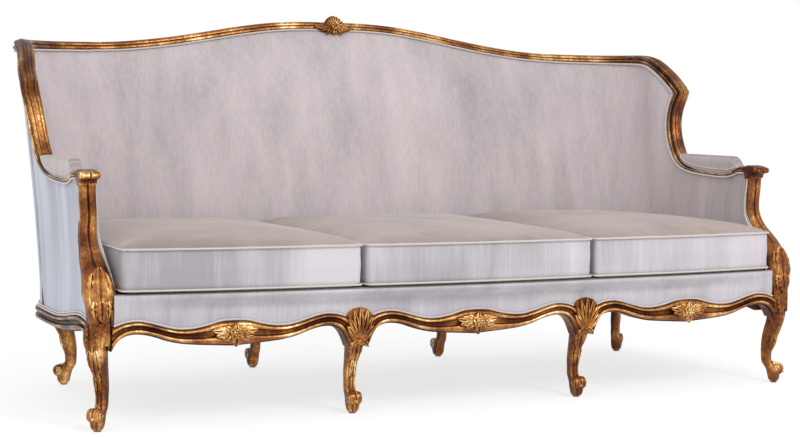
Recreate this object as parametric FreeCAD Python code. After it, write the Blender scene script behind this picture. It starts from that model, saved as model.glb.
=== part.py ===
"""A three-seat cabriole sofa with a gilded show-wood frame and loose cushions.

The frame is built as a chair maker builds it. Eight cabriole legs with scroll toes carry scalloped
seat rails. Stiles stand on the rear rails and hold a serpentine crest rail, whose ears turn forward
and meet the wing rails in a mitre. A wing rail runs down into an arm rail, and that into a post over
the front corner leg. One moulded cap profile follows this whole line. Webbing, pads and cloth covers
fill the frame, and three boxed cushions lie loose on the seat.

Axes: +X to the right in a front view, +Y to the back, +Z up, in millimetres. The right half is
modelled and the left half is its mirror image.
"""
import os
import FreeCAD, Part
from math import cos, sin, tan, pi, radians, degrees, exp, atan, atan2

Vec = FreeCAD.Vector

# Footprint: the middle of each foot, with y counted from the line of the front corner feet
front_corner_x = 1000.0
front_mid_x = 334.0
rear_corner_foot = (906.0, 692.0)
rear_mid_foot = (310.0, 791.0)

# Heights of the frame
seat_rail_top = 295.0
post_joint_z = 262.0
arm_line_z = 588.0
mitre_z = 834.0
ear_z = 930.0
crest_end_z = 936.0
crest_rise = 80.0
shoulder_y = 136.0

# Plan of the walls at the height of the seat rails, on their inner faces
wall_inner_x = 962.0
back_inner_y = 752.0
corner_radius = 192.0
ear_radius = 225.0
back_lean = 0.25
side_flare = 75.0

# Moulded cap along the top edges of the walls, with a tongue that the cloth is tacked to
cap_width = 41.0
cap_height = 27.0
arm_cap_height = 16.0
tongue_inset = 8.0
tongue_depth = 22.0

# Seat rails
front_rail_depth = 40.0
rail_proud = 10.0
rail_ledge = 3.4
rail_seat = 16.0
rail_face_centre = -36.0
rail_face_corner = -23.0

# Upholstery
pad_edge = 7.5
back_bulge = 28.0
post_swell = 9.0
cover_thickness = 2.5
deck_thickness = 28.0
piping_radius = 2.8
side_piping_radius = 2.3
gap = 0.3

# Loose cushions
cushion_outer_x = 955.0
cushion_joint_x = 336.0
cushion_front_y = -34.0
cushion_boxing = 108.0
cushion_crown = 30.0
cushion_bow_side = 36.0
cushion_bow_centre = 60.0
cover_cloth = 1.2

# Cabriole legs
leg_block = 48.0
toe_radius = 17.0
toe_z = 40.0
glide_height = 4.0
glide_radius = 9.0

corner_x = wall_inner_x - corner_radius
corner_y = back_inner_y - corner_radius
wall_bottom = seat_rail_top + gap
deck_top = seat_rail_top + 6.0 + deck_thickness
side_front_y = -14.0
cover_inner = cap_width - tongue_inset + 2 * gap
cover_outer = cover_inner + cover_thickness

parts = {}


# Helpers

def loft(rings):
    """A solid with flat-ruled sides through closed polygons that have equally many corners."""
    wires = []
    for ring in rings:
        wires.append(Part.makePolygon(list(ring) + [ring[0]]))
    return Part.makeLoft(wires, True, True)


def mirrored(shape):
    return shape.mirror(Vec(0, 0, 0), Vec(1, 0, 0))


def both(name, shape):
    parts[name + "_left"] = mirrored(shape)
    parts[name + "_right"] = shape


def box(x0, x1, y0, y1, z0, z1):
    return Part.makeBox(x1 - x0, y1 - y0, z1 - z0, Vec(x0, y0, z0))


def unit(v):
    return v * (1.0 / v.Length)


def mix(a, b, t):
    return a + (b - a) * t


def fuse(shapes):
    return shapes[0].fuse(shapes[1:]).removeSplitter()


def largest(shape):
    return sorted(shape.Solids, key=lambda solid: solid.Volume)[-1]


def seated(shape, seat, away):
    """A piece cut to the form of its seat and moved off it."""
    left = largest(shape.cut(seat))
    left.translate(away)
    return left


def smooth(points, start, end):
    """A spline through points with given end directions."""
    curve = Part.BSplineCurve()
    curve.interpolate(Points=points, InitialTangent=start, FinalTangent=end)
    return curve.toShape()


def directions(points, start, end):
    """Each point with the direction of a smooth line through them all."""
    edge = smooth(points, start, end)
    found = []
    for point in points:
        u = edge.Curve.parameter(point)
        found.append((point, unit(edge.tangentAt(u))))
    return found


def steps(first, last, count):
    return [first + (last - first) * i / float(count) for i in range(count + 1)]


def profile(points, x):
    """The height at x of a smooth line through (x, height) pairs."""
    last = len(points) - 1
    x = min(max(x, points[0][0]), points[last][0])
    slopes = []
    for i in range(last + 1):
        a = points[max(i - 1, 0)]
        b = points[min(i + 1, last)]
        slopes.append((b[1] - a[1]) / (b[0] - a[0]))
    i = 0
    while i < last - 1 and x > points[i + 1][0]:
        i += 1
    (x0, h0), (x1, h1) = points[i], points[i + 1]
    span = x1 - x0
    t = (x - x0) / span
    rise = h0 * (1 + 2 * t) * (1 - t) ** 2 + h1 * t * t * (3 - 2 * t)
    return rise + span * (slopes[i] * t * (1 - t) ** 2 - slopes[i + 1] * t * t * (1 - t))


# The walls. Each upright section has a foot on the seat rail and a head under the cap.

def crest_z(x):
    """The height of the cloth line under the crest rail."""
    rise = [(0, 1.0), (100, 0.995), (200, 0.915), (300, 0.745), (416, 0.49), (520, 0.275),
            (640, 0.09), (725, 0.014), (corner_x, 0.0)]
    return crest_end_z + crest_rise * profile(rise, abs(x))


def lean_y(z):
    return back_inner_y + back_lean * (z - seat_rail_top)


ear_centre_y = lean_y(crest_end_z) - ear_radius
ear_flare = ear_radius - corner_radius
ear_bulge = 0.234 * ear_flare


def flare_at(k):
    """How far the head of the side wall stands out of its foot, less towards the rear corner."""
    t = min(max((k - 0.8) / 0.2, 0), 1)
    return mix(side_flare, ear_flare, t * t * (3 - 2 * t))


def side_point(k, s, offset):
    """A point of the side wall at the share k of its length and s of its height."""
    swell = post_swell * (1 - k) ** 3 * exp(-((s - 0.22) / 0.1) ** 2)
    x = wall_inner_x + flare_at(k) * (0.066 * s + 0.934 * s * s) + swell + offset
    y = side_front_y + k * (mix(corner_y, ear_centre_y, s) - side_front_y)
    return Vec(x, y, mix(wall_bottom, ear_z, s))


def side_at(y, z):
    """The point on the inner face of the side wall at a given y and height."""
    s = max((z - wall_bottom) / (ear_z - wall_bottom), 0)
    k = (y - side_front_y) / (mix(corner_y, ear_centre_y, s) - side_front_y)
    found = side_point(k, s, 0)
    found.z = z
    return found


class Upright:
    """An upright section of the back or of a rear corner."""

    def __init__(self, foot, head, out, bulge, flat, lean):
        self.foot, self.head, self.out = foot, head, out
        self.bulge, self.flat, self.lean = bulge, flat, lean

    def at(self, t, offset, bulge):
        """A point at the share t of the height; the head drops outwards, square to the lean."""
        rise = self.head - self.foot
        drop = rise * (-(offset * tan(self.lean) + 3 * gap) / rise.z * t ** 8)
        reach = offset * mix(1, 1 / cos(self.lean), t) - bulge * 4 * t * (1 - t)
        return self.foot + rise * t + self.out * reach + drop


def back_upright(x):
    top = crest_z(x)
    return Upright(Vec(x, back_inner_y, wall_bottom), Vec(x, lean_y(top), top), Vec(0, 1, 0),
                   back_bulge, 4.0, atan(back_lean))


def corner_lean(angle):
    return atan((ear_flare + (ear_centre_y - corner_y) * sin(angle)) / (ear_z - wall_bottom))


def corner_upright(angle):
    """A section through the rear corner; zero is its side end and ninety its back end."""
    out = Vec(cos(radians(angle)), sin(radians(angle)), 0)
    share = angle / 90.0
    foot = Vec(corner_x, corner_y, wall_bottom) + out * corner_radius
    head = Vec(corner_x, ear_centre_y, mix(ear_z, crest_end_z, share)) + out * ear_radius
    return Upright(foot, head, out, mix(ear_bulge, back_bulge, share), mix(ear_bulge, 4.0, share),
                   corner_lean(radians(angle)))


wall_shares = (0, 0.12, 0.27, 0.45, 0.64, 0.83, 1)


def pad_ring(up):
    """A pad's section: full in the middle inside and nearly flat behind."""
    inner = [up.at(t, 0, up.bulge) for t in wall_shares]
    return inner + [up.at(t, pad_edge, up.flat) for t in reversed(wall_shares)]


def cover_ring(up):
    bulge = mix(2.0, up.flat, 0.8) if up.flat > 4.0 else 2.0
    inner = [up.at(t, cover_inner, bulge) for t in wall_shares]
    return inner + [up.at(t, cover_outer, bulge) for t in reversed(wall_shares)]


def side_ring(k, inside, outside):
    """A section of the side wall between two offsets from its inner face."""
    shares = (0, 0.12, 0.22, 0.32, 0.46, 0.64, 0.83, 1)
    inner = [side_point(k, s, inside) for s in shares]
    return inner + [side_point(k, s, outside) for s in reversed(shares)]


# Rails follow a line in plan; their scallops are heights along that line.

def scallop(points, x):
    """A height on the front rails: each of the three sections repeats one scallop."""
    x = abs(x)
    half = front_mid_x
    if x > front_mid_x:
        half = (front_corner_x - front_mid_x) / 2.0
        x = abs(x - front_mid_x - half)
    return profile(points, x * 334.0 / half)


def front_top(x):
    return scallop([(0, 257), (35, 255), (75, 245), (110, 239.5), (145, 240), (180, 248), (215, 258),
                    (245, 263), (275, 260), (305, 251), (334, 245)], x)


def front_low(x):
    return scallop([(0, 198), (60, 202), (100, 205), (135, 209), (170, 217), (205, 229),
                    (235, 235.5), (260, 236), (285, 231), (305, 222), (334, 208)], x)


def front_face(x):
    return mix(rail_face_centre, rail_face_corner, (x / front_corner_x) ** 2)


def side_top(run):
    return profile([(0, 243), (60, 250), (150, 259), (225, 253), (300, 241), (380, 233), (460, 231),
                    (560, 232), (700, 236), (860, 240)], run)


def side_low(run):
    return profile([(0, 208), (60, 217), (130, 228), (200, 220), (300, 209), (420, 202), (540, 202),
                    (700, 206), (860, 209)], run)


def wall_plan(run, offset):
    """The plan point and outward direction at a distance along the wall from the front corner."""
    turn_end = corner_y + corner_radius * pi / 2
    if run <= corner_y:
        return Vec(wall_inner_x + offset, run, 0), Vec(1, 0, 0)
    if run >= turn_end:
        return Vec(corner_x - (run - turn_end), back_inner_y + offset, 0), Vec(0, 1, 0)
    angle = (run - corner_y) / corner_radius
    out = Vec(cos(angle), sin(angle), 0)
    return Vec(corner_x, corner_y, 0) + out * (corner_radius + offset), out


def rail_ring(inner, out, top, low, depth):
    """A seat rail's section: a core with a tacking ledge, two beads and a hollow between them."""
    band = top - low
    core = depth - rail_ledge
    shape = [(0, seat_rail_top), (core, seat_rail_top), (core, top), (depth, top)]
    beads = [(0.6, 0.04), (1.0, 0.16), (0.9, 0.3), (0.3, 0.38), (0.2, 0.5), (0.3, 0.64), (0.9, 0.7),
             (1.0, 0.86), (0.5, 1.0)]
    shape += [(depth + rail_proud * a, top - band * b) for a, b in beads]
    shape += [(depth - 2, low), (depth - 2, low - 4), (0, low - 4)]
    return [inner + out * a + Vec(0, 0, b) for a, b in shape]


inner_end = front_mid_x - leg_block / 2.0 - gap
outer_start = front_mid_x + leg_block / 2.0 + gap
front_end = 973.5
centre_steps = steps(-inner_end, inner_end, 20)
outer_steps = steps(outer_start, front_end, 18)

leg_turn = leg_block / 2.0 + gap
turn_end = corner_y + corner_radius * pi / 2
rear_corner_run = corner_y + corner_radius * pi / 4
rear_mid_run = turn_end + corner_x - rear_mid_foot[0]
wall_runs = steps(27.5, corner_y, 12) + steps(corner_y, rear_corner_run - leg_turn, 4)[1:]
wall_runs += steps(rear_corner_run + leg_turn, turn_end, 4)
wall_runs += steps(turn_end, rear_mid_run - leg_turn, 3)[1:]


def runs_between(run0, run1):
    return [run0] + [run for run in wall_runs if run0 + 1 < run < run1 - 1] + [run1]


def front_rail(stations):
    rings = []
    for x in stations:
        inner = Vec(x, front_face(x) + front_rail_depth, 0)
        rings.append(rail_ring(inner, Vec(0, -1, 0), front_top(x), front_low(x), front_rail_depth))
    return loft(rings)


def wall_rail(run0, run1):
    rings = []
    depth = rail_seat + cover_outer + 0.6
    for run in runs_between(run0, run1):
        inner, out = wall_plan(run, -rail_seat)
        rings.append(rail_ring(inner, out, side_top(run), side_low(run), depth))
    return loft(rings)


def tube(frames, a, b, radius=piping_radius):
    """A five-sided cord laid at (a, b) in a row of frames."""
    rings = []
    for point, across, up in frames:
        centre = point + across * a + up * b
        sides = steps(0, 2 * pi, 5)[:-1]
        rings.append([centre + (across * cos(side) + up * sin(side)) * radius for side in sides])
    return loft(rings)


# Moulded cap

def cap_ring(frame, height):
    """The cap's outline: tongue, inner bead, cove, crown, and the same again outside."""
    point, across, up = frame
    half = [(0, 0), (-2.5, 0.2 * height), (-2.0, 0.42 * height), (3.0, 0.55 * height),
            (5.0, 0.76 * height), (0.28 * cap_width, 0.97 * height)]
    shape = half + [(cap_width / 2.0, height)] + [(cap_width - a, b) for a, b in reversed(half)]
    follow, far = 0.0, cap_width - tongue_inset
    if point.y < ear_centre_y:
        below = point - unit(up) * tongue_depth
        follow = side_at(below.y, below.z).x - point.x
        far = far * across.x - 3 * gap
    tongue = [(far, 0), (far - 2 + follow, -tongue_depth), (tongue_inset + 2 + follow, -tongue_depth),
              (tongue_inset, 0)]
    return [point + across * a + up * b for a, b in shape + tongue]


def wall_frame(point, tangent, out, lean):
    """A frame across the wall and up it, square to the run of the cap."""
    up = out * sin(lean) + Vec(0, 0, 1) * cos(lean)
    up = unit(up - tangent * up.dot(tangent))
    return point, unit(up.cross(tangent)), up


def edge_frame(point, tangent):
    """The same on a side wall, whose cloth line turns in the upright plane of y and z."""
    across = unit(unit(Vec(0, tangent.z, -tangent.y)).cross(tangent))
    return point, across, unit(tangent.cross(across))


def mitre_frame(point, before, after):
    """The frame in the plane that halves the turn between two runs of the cap."""
    a, b = edge_frame(point, before), edge_frame(point, after)
    up = unit(a[2] + b[2])
    return point, unit(a[1] + b[1]), up * (1.0 / up.dot(a[2]))


crest_stations = steps(-corner_x, corner_x, 20)
crest_points = [Vec(x, lean_y(crest_z(x)), crest_z(x)) for x in crest_stations]
crest_frames = []
for p, t in directions(crest_points, Vec(1, 0, 0.02), Vec(1, 0, -0.02)):
    crest_frames.append(wall_frame(p, t, Vec(0, 1, 0), atan(back_lean)))

mitre_y = 553.0
mitre_point = side_at(mitre_y, mitre_z)
ear_end = Vec(0, -0.72, -0.69)
wing_start = Vec(-0.1, 0.3, -0.95)
turns = steps(0, 90, 8)
ear_points = [corner_upright(angle).head for angle in reversed(turns)]
ear_points += [side_at(y, z) for y, z in ((650, 909), (617, 886), (584, 860))] + [mitre_point]
ear_frames = []
for p, t in directions(ear_points, Vec(1, 0, -0.02), ear_end)[:-1]:
    if p.y > ear_centre_y - 1:
        turn = max(atan2(p.y - ear_centre_y, p.x - corner_x), 0)
        ear_frames.append(wall_frame(p, t, Vec(cos(turn), sin(turn), 0), corner_lean(turn)))
    else:
        ear_frames.append(edge_frame(p, t))
ear_frames.append(mitre_frame(mitre_point, ear_end, wing_start))

wing_points = [mitre_point]
for y, z in ((561, 803), (563, 768), (557, 728), (543, 689), (521, 654), (491, 624), (452, 605),
             (400, 595), (330, 590), (260, 588), (218, 589), (190, 595), (165, 603)):
    wing_points.append(side_at(y, z))
wing_points.append(side_at(shoulder_y + gap, 605) - Vec(3, 0, 0))
wing_frames = [ear_frames[-1]]
for p, t in directions(wing_points, wing_start, Vec(0, -1, 0))[1:]:
    wing_frames.append(edge_frame(p, t))
wing_heights = [cap_height] * 5 + [25, 22, 19, 17] + [arm_cap_height] * 6
split = 6

parts["crest_rail"] = loft([cap_ring(f, cap_height) for f in crest_frames])
crest_corner = loft([cap_ring(f, cap_height) for f in ear_frames])
both("crest_corner", crest_corner)
cap_rings = [cap_ring(f, h) for f, h in zip(wing_frames, wing_heights)]
wing_rail = loft(cap_rings[:split + 1])
arm_rail = loft(cap_rings[split:])
both("wing_rail", wing_rail)
both("arm_rail", arm_rail)

# Arm posts: height, y of the cloth line, inner face, width, and reach forward of the line
post_rows = [(588, 112, 976, 41, 14), (560, 112, 975.5, 40.5, 14), (507, 113, 973, 39.5, 14),
             (476, 108, 975, 41, 14), (450, 91, 977, 43, 15), (430, 67, 977, 47, 16),
             (408, 44, 975, 54, 18), (380, 18, 970, 61, 20), (352, 0, 964, 70, 20),
             (332, -8, 962, 74, 20), (309, -11, 967, 64, 19), (285, -12, 973, 54, 18),
             (post_joint_z, -12, 975, 50, 18)]


def post_ring(z, y, x, width, reach):
    """The post's section: a tacking tongue behind and two reeds with a groove in front."""
    wall = side_at(y + tongue_depth / 2, z).x
    left = max(wall + tongue_inset + 1, x + 2)
    right = min(wall + cap_width - tongue_inset - 1, x + width - 2)
    shape = [(left, 22), (left, 0), (x, 0), (x - 1.5, -0.3 * reach), (x + 0.06 * width, -0.7 * reach),
             (x + 0.24 * width, -reach), (x + 0.42 * width, -0.95 * reach),
              (x + 0.5 * width, -0.72 * reach),
             (x + 0.58 * width, -0.95 * reach), (x + 0.76 * width, -reach),
             (x + 0.94 * width, -0.7 * reach), (x + width + 1.5, -0.3 * reach), (x + width, 0), (right, 0),
             (right, 22)]
    return [Vec(a, y + b, z) for a, b in shape]


scroll = [(136, 586), (136, 623), (110, 623.5), (85, 621), (70, 616), (66, 610), (70, 604),
          (80, 601.5), (90, 599), (97, 592), (98, 586)]
scroll_head = Part.Face(Part.makePolygon([Vec(976, y, z) for y, z in scroll + scroll[:1]]))
post_base = box(979, 1021, -12, 27, post_joint_z, seat_rail_top - gap)
both("arm_post", fuse([loft([post_ring(*row) for row in post_rows]), scroll_head.extrude(Vec(42, 0, 0)),
                       post_base]))

# Cabriole legs: height, shift along the facing direction, depth and width
foot_rows = [(glide_height, 0, 21, 22), (10, 0, 29, 29), (24, -1, 34, 34), (40, -7, 32, 32)]
leg_rows = foot_rows + [(58, -20, 29, 29), (81, -23, 29, 28), (103, -21, 34, 31), (123, -19, 36, 31),
                        (152, -10.6, 43, 36), (180, -1.5, 47, 44), (200, 2, 51, 47)]
corner_rows = leg_rows + [(230, 3, 52, 49), (post_joint_z, 1, 49, 49)]


def leg(foot, facing, rows, top_shift):
    """A cabriole leg with a scroll toe; its top is shifted from over the foot to the rail."""
    ahead = Vec(cos(radians(facing)), sin(radians(facing)), 0)
    aside = Vec(-ahead.y, ahead.x, 0)
    centre = Vec(foot[0], foot[1], 0)
    outline = [(0.9, 0), (1, 0.2), (0.8, 0.66), (0.35, 0.97), (-0.45, 0.93), (-1, 0.4),
               (-1, -0.4), (-0.45, -0.93), (0.35, -0.97), (0.8, -0.66), (1, -0.2)]
    rings = []
    for z, shift, depth, width in rows:
        t = min(max((z - 60) / 140.0, 0), 1)
        middle = centre + ahead * (shift + top_shift * t * t * (3 - 2 * t)) + Vec(0, 0, z)
        rings.append([middle + ahead * (a * depth / 2) + aside * (b * width / 2) for a, b in outline])
    whorl = []
    for side in (-15.5, 15.5):
        hub = centre + ahead * 10 + aside * side + Vec(0, 0, toe_z)
        sides = steps(0, 2 * pi, 12)[:-1]
        whorl.append([hub + (ahead * cos(a) + Vec(0, 0, sin(a))) * toe_radius for a in sides])
    return [loft(rings), loft(whorl)]


both("front_corner_leg", fuse(leg((front_corner_x, 0), -45, corner_rows, 0)
                              + [box(974, 1025, -25, 27, 205, post_joint_z)]))
shell = [(-8, 182), (-14, 192), (-22, 215), (-31, 240), (-35.5, 256), (-29, 270), (-15, 277)]
shell += [(0, 279)] + [(-x, z) for x, z in reversed(shell)]
fan_rings = []
for y, size in ((-37.0, 1.0), (-44.0, 0.97), (-49.0, 0.82)):
    fan_rings.append([Vec(front_mid_x + x * size, y, 232 + (z - 232) * size) for x, z in shell])
half_block = leg_block / 2.0

# Seat rails between the legs
parts["front_rail_center"] = front_rail(centre_steps)
outer_rail = seated(front_rail(outer_steps), parts["arm_post_right"], Vec(-gap, 0, 0))
both("front_rail", outer_rail)
fan = seated(loft(fan_rings), parts["front_rail_center"].fuse(outer_rail), Vec(0, -2 * gap, 0))
fan_top = 281.0
block_face = front_face(front_mid_x) + rail_ledge + gap
mid_blocks = [box(front_mid_x - half_block, front_mid_x + half_block, -40, 20, 198, fan_top - 2),
              box(front_mid_x - half_block, front_mid_x + half_block, block_face, 20,
                  250, seat_rail_top - gap)]
both("front_mid_leg", fuse(leg((front_mid_x, 0), -90, leg_rows, 6) + mid_blocks + [fan]))
both("side_rail", wall_rail(wall_runs[0], rear_corner_run - leg_turn))
rear_rail = wall_rail(rear_corner_run + leg_turn, rear_mid_run - leg_turn)
rear_centre = wall_rail(rear_mid_run + leg_turn, rear_mid_run + 2 * rear_mid_foot[0] - leg_turn)
parts["rear_rails"] = Part.makeCompound([rear_rail, mirrored(rear_rail), rear_centre])

# Rear legs run up through the wall as stiles that end under the crest
def stile(up, side, inner, outer, half):
    """A straight stile along an upright section, long enough to be cut to its seat."""
    rings = []
    for t in (-0.05, 1):
        middle = up.foot + (up.head - up.foot) * t
        rings.append([middle + up.out * a + side * b for a, b in
                      ((inner, -half), (outer, -half), (outer, half), (inner, half))])
    return loft(rings)


down = Vec(0, 0, -2 * gap)
mid_up = back_upright(rear_mid_foot[0])
mid_stile = seated(stile(mid_up, Vec(1, 0, 0), 10.4, 30.2, 22), parts["crest_rail"], down)
mid_block = box(rear_mid_foot[0] - half_block, rear_mid_foot[0] + half_block, back_inner_y - rail_seat,
                back_inner_y + cover_inner - gap, 197, seat_rail_top - gap)
both("rear_mid_leg", fuse(leg(rear_mid_foot, 90, leg_rows, -27) + [mid_block, mid_stile]))
turned_up = corner_upright(45)
across_corner = Vec(-sin(radians(45)), cos(radians(45)), 0)
turned_stile = seated(stile(turned_up, across_corner, 10.4, 26.5, 18), crest_corner, down)
wedge = []
for run, offset in ((-half_block, -rail_seat), (-half_block, cover_inner - gap),
                    (half_block, cover_inner - gap), (half_block, -rail_seat)):
    wedge.append(wall_plan(rear_corner_run + run, offset)[0] + Vec(0, 0, 197))
turned_block = Part.Face(Part.makePolygon(wedge + wedge[:1])).extrude(Vec(0, 0, seat_rail_top - gap - 197))
both("rear_corner_leg", fuse(leg(rear_corner_foot, 45, leg_rows, 4) + [turned_block, turned_stile]))

# Wing stiles stand on the side rails and carry the wing rails
stile_rings = []
for s in (4 * gap / (ear_z - wall_bottom), 0.15, 0.3, 0.45, 0.6):
    k = 0.815
    a, b = side_point(k, s, 10.5), side_point(k, s, 30)
    stile_rings.append([a + Vec(0, -20, 0), b + Vec(0, -20, 0), b + Vec(0, 20, 0), a + Vec(0, 20, 0)])
wing_stile = seated(seated(loft(stile_rings), wing_rail, down), arm_rail, down)
both("wing_stile", wing_stile)


# Wall pads and outside covers. The side walls are cut to the cloth line in the y-z plane.

def skirt(run0, run1):
    """The outside cover's lower band, which hangs over the seat rail to its cloth line."""
    rings = []
    for run in runs_between(run0, run1):
        near, out = wall_plan(run, cover_inner + gap)
        far = near + out * cover_thickness
        low = Vec(0, 0, side_top(run) + 2 * gap)
        high = Vec(0, 0, wall_bottom)
        rings.append([near + low, far + low, far + high, near + high])
    return loft(rings)


keep = [(row[1] + 4 * gap, row[0]) for row in reversed(post_rows[1:11])]
keep += [(post_rows[0][1] + 4 * gap, 585), (shoulder_y + 4 * gap, 585)]
cloth_line = list(reversed(wing_frames))[:-1] + list(reversed(ear_frames[8:]))
keep += [(f[0].y - f[2].y * 4 * gap, f[0].z - f[2].z * 4 * gap) for f in cloth_line]
keep += [(790, ear_z + 1), (790, 285)]
keep_line = Part.makePolygon([Vec(900, y, z) for y, z in keep + keep[:1]])
side_keep = Part.Face(keep_line).extrude(Vec(220, 0, 0))
side_shares = (0, 0.12, 0.25, 0.45, 0.65, 0.8, 0.87, 0.93, 1)


def side_wall(inside, outside):
    wall = loft([side_ring(k, inside, outside) for k in side_shares])
    return largest(wall.common(side_keep).cut([crest_corner, wing_rail, arm_rail]))


parts["inside_back"] = loft([pad_ring(back_upright(x)) for x in crest_stations])
both("inside_corner", loft([pad_ring(corner_upright(a)) for a in turns]))
both("inside_arm", side_wall(0, pad_edge))
outside_back = loft([cover_ring(back_upright(x)) for x in crest_stations])
back_skirt = skirt(turn_end, turn_end + 2 * corner_x)
parts["outside_back"] = Part.makeCompound([outside_back, back_skirt])
outside_corner = loft([cover_ring(corner_upright(a)) for a in turns])
both("outside_corner", Part.makeCompound([outside_corner, skirt(corner_y, turn_end)]))
side_skirt = skirt(wall_runs[0], corner_y)
both("outside_arm", Part.makeCompound([side_wall(cover_inner, cover_outer), side_skirt]))

# Seat: cross rails, webbing, hessian and a pad with a sprung front edge

def front_bow(x):
    """The front line of the cushions in plan."""
    bow = [(0, cushion_bow_centre), (170, 57), (320, 50), (cushion_joint_x, 47), (400, 46),
           (645, cushion_bow_side), (900, 10), (cushion_outer_x, 0)]
    return cushion_front_y - profile(bow, abs(x))


def deck_front(x):
    return mix(front_face(x), front_bow(x) + 8, 0.5) + 9


def edge_roll_ring(x):
    """The front border: cloth over a firm roll that leans forward from the rail."""
    face, bow, back = front_face(x), front_bow(x) + 8, deck_front(x) - gap
    ledge = front_top(x) + 4 * gap
    shape = [(face + 2.7, ledge), (face + 0.6, ledge), (face - 1, 284), (mix(face, bow, 0.55), 307),
             (bow, 320), (bow + 0.6, 327), (bow + 4, deck_top), (back, deck_top), (back, 299.8),
             (face + 2.7, seat_rail_top)]
    return [Vec(x, y, z) for y, z in shape]


border_x = centre_steps[11:] + [front_mid_x] + [x for x in outer_steps if x < 945]
border_x = [-x for x in reversed(border_x)] + [0.0] + border_x
notch = box(front_mid_x - 38, front_mid_x + 38, -200, 100, 200, fan_top)
parts["front_border"] = loft([edge_roll_ring(x) for x in border_x]).cut(notch).cut(mirrored(notch))

def plan_sheet(inset, z0, thickness, front):
    """A flat sheet with the plan of the seat, its rear corners rounded to the wall."""
    reach = corner_radius - inset
    side = wall_inner_x - inset
    points = [Vec(x, front(x), z0) for x in steps(-side, side, 40)]
    ends = []
    for i in range(7):
        a = radians(15.0 * i)
        ends.append(Vec(corner_x + reach * cos(a), corner_y + reach * sin(a), z0))
    outline = points + ends + [Vec(-p.x, p.y, z0) for p in reversed(ends)]
    return Part.Face(Part.makePolygon(outline + outline[:1])).extrude(Vec(0, 0, thickness))


web_z = seat_rail_top + gap
long_webs = []
for i in range(9):
    x = 52.0 + 100 * i
    rear = back_inner_y - 3 if x < corner_x - 30 else corner_y + 120
    long_webs += [box(x - 27, x + 27, -8, rear, web_z, web_z + 1.8)]
parts["webbing_long"] = Part.makeCompound(long_webs + [mirrored(web) for web in long_webs])
cross_z = web_z + 1.8 + gap
bands = []
for y in (60, 172, 284, 396, 508):
    bands.append(box(4 - wall_inner_x, wall_inner_x - 4, y, y + 54, cross_z, cross_z + 1.8))
parts["webbing_cross"] = Part.makeCompound(bands)
hessian_z = cross_z + 1.8 + gap
parts["hessian"] = plan_sheet(8, hessian_z, 1.0, lambda x: 2.0)
pad_z = hessian_z + 1.0 + gap
parts["deck_pad"] = plan_sheet(8, pad_z, deck_top - pad_z, lambda x: deck_front(x) + 2)
cross_rail = box(front_mid_x - 22, front_mid_x + 22, 20 + gap, back_inner_y - rail_seat - gap, 250,
                 seat_rail_top - gap)
brace = Part.Face(Part.makePolygon([Vec(945.7, 27.5, 252), Vec(945.7, 110, 252), Vec(860, 24, 252),
                                    Vec(860, 18.5, 252), Vec(945.7, 18.5, 252), Vec(945.7, 27.5, 252)]))
brace = brace.extrude(Vec(0, 0, 40))
parts["seat_braces"] = Part.makeCompound([cross_rail, mirrored(cross_rail), brace, mirrored(brace)])
parts["dust_cover"] = box(-930, 930, 30, 560, 248.7, 249.7)
brace_z = 352.0
back_brace = box(-rear_mid_foot[0] + 22 + gap, rear_mid_foot[0] - 22 - gap, 0, 20, 0, 70)
back_brace.rotate(Vec(0, 0, 0), Vec(1, 0, 0), -14.036)
back_brace.translate(Vec(0, lean_y(brace_z) + 9.5, brace_z))
parts["back_brace"] = back_brace
parts["foot_glides"] = Part.makeCompound([Part.makeCylinder(glide_radius, glide_height, Vec(sx * x, y, 0))
                                          for x, y in ((front_corner_x, 0), (front_mid_x, 0),
                                                       rear_corner_foot, rear_mid_foot) for sx in (-1, 1)])

# Arm pads sit on the arm rails under a level top
pad_rings = []
pad_level = 646.0
fine_wing = []
for before, after in zip(wing_frames[5:13], wing_frames[6:14]):
    for t in (0, 0.5):
        up = unit(mix(before[2], after[2], t))
        fine_wing.append((mix(before[0], after[0], t), unit(mix(before[1], after[1], t)), up))
for i, (point, across, up) in enumerate(fine_wing):
    height = mix(cap_height, arm_cap_height, min(max((i - 1) / 5.0, 0), 1)) + 1.5
    base = point + up * height
    rise = (pad_level - base.z) / up.z
    rise = min(rise, 14 + 9 * (len(fine_wing) - 1 - i))
    if rise < 8:
        continue
    middle = cap_width / 2.0
    half = [(17, 0), (20, 0.35 * rise), (18, 0.7 * rise), (10, 0.94 * rise)]
    shape = [(middle - a, b) for a, b in half] + [(middle, rise)]
    shape += [(middle + a, b) for a, b in reversed(half)]
    pad_rings.append([base + across * a + up * b for a, b in shape])
both("arm_pad", loft(pad_rings))

# Piping along the cloth lines
inner_a, outer_a, cord_b = -4.3, cover_outer + 3.3, -3.6
cords = [tube(crest_frames, inner_a, cord_b), tube(crest_frames, outer_a, cord_b)]
for frames in (ear_frames, wing_frames):
    for a, b in ((inner_a - 1.5, cord_b - 1.5), (outer_a + 2.0, cord_b - 2.5)):
        cord = tube(frames, a, b, side_piping_radius)
        cords += [cord, mirrored(cord)]
parts["wall_piping"] = Part.makeCompound(cords)


def front_cord(stations):
    frames = []
    for x in stations:
        frames.append((Vec(x, front_face(x) - 2.6, front_top(x) + 3.2), Vec(0, 1, 0), Vec(0, 0, 1)))
    return tube(frames, 0, 0)


def wall_cord(run0, run1):
    frames = []
    for run in runs_between(run0, run1):
        at, out = wall_plan(run, cover_outer + 3.6)
        frames.append((at + Vec(0, 0, side_top(run) + 3.3), out, Vec(0, 0, 1)))
    return tube(frames, 0, 0)


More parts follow.
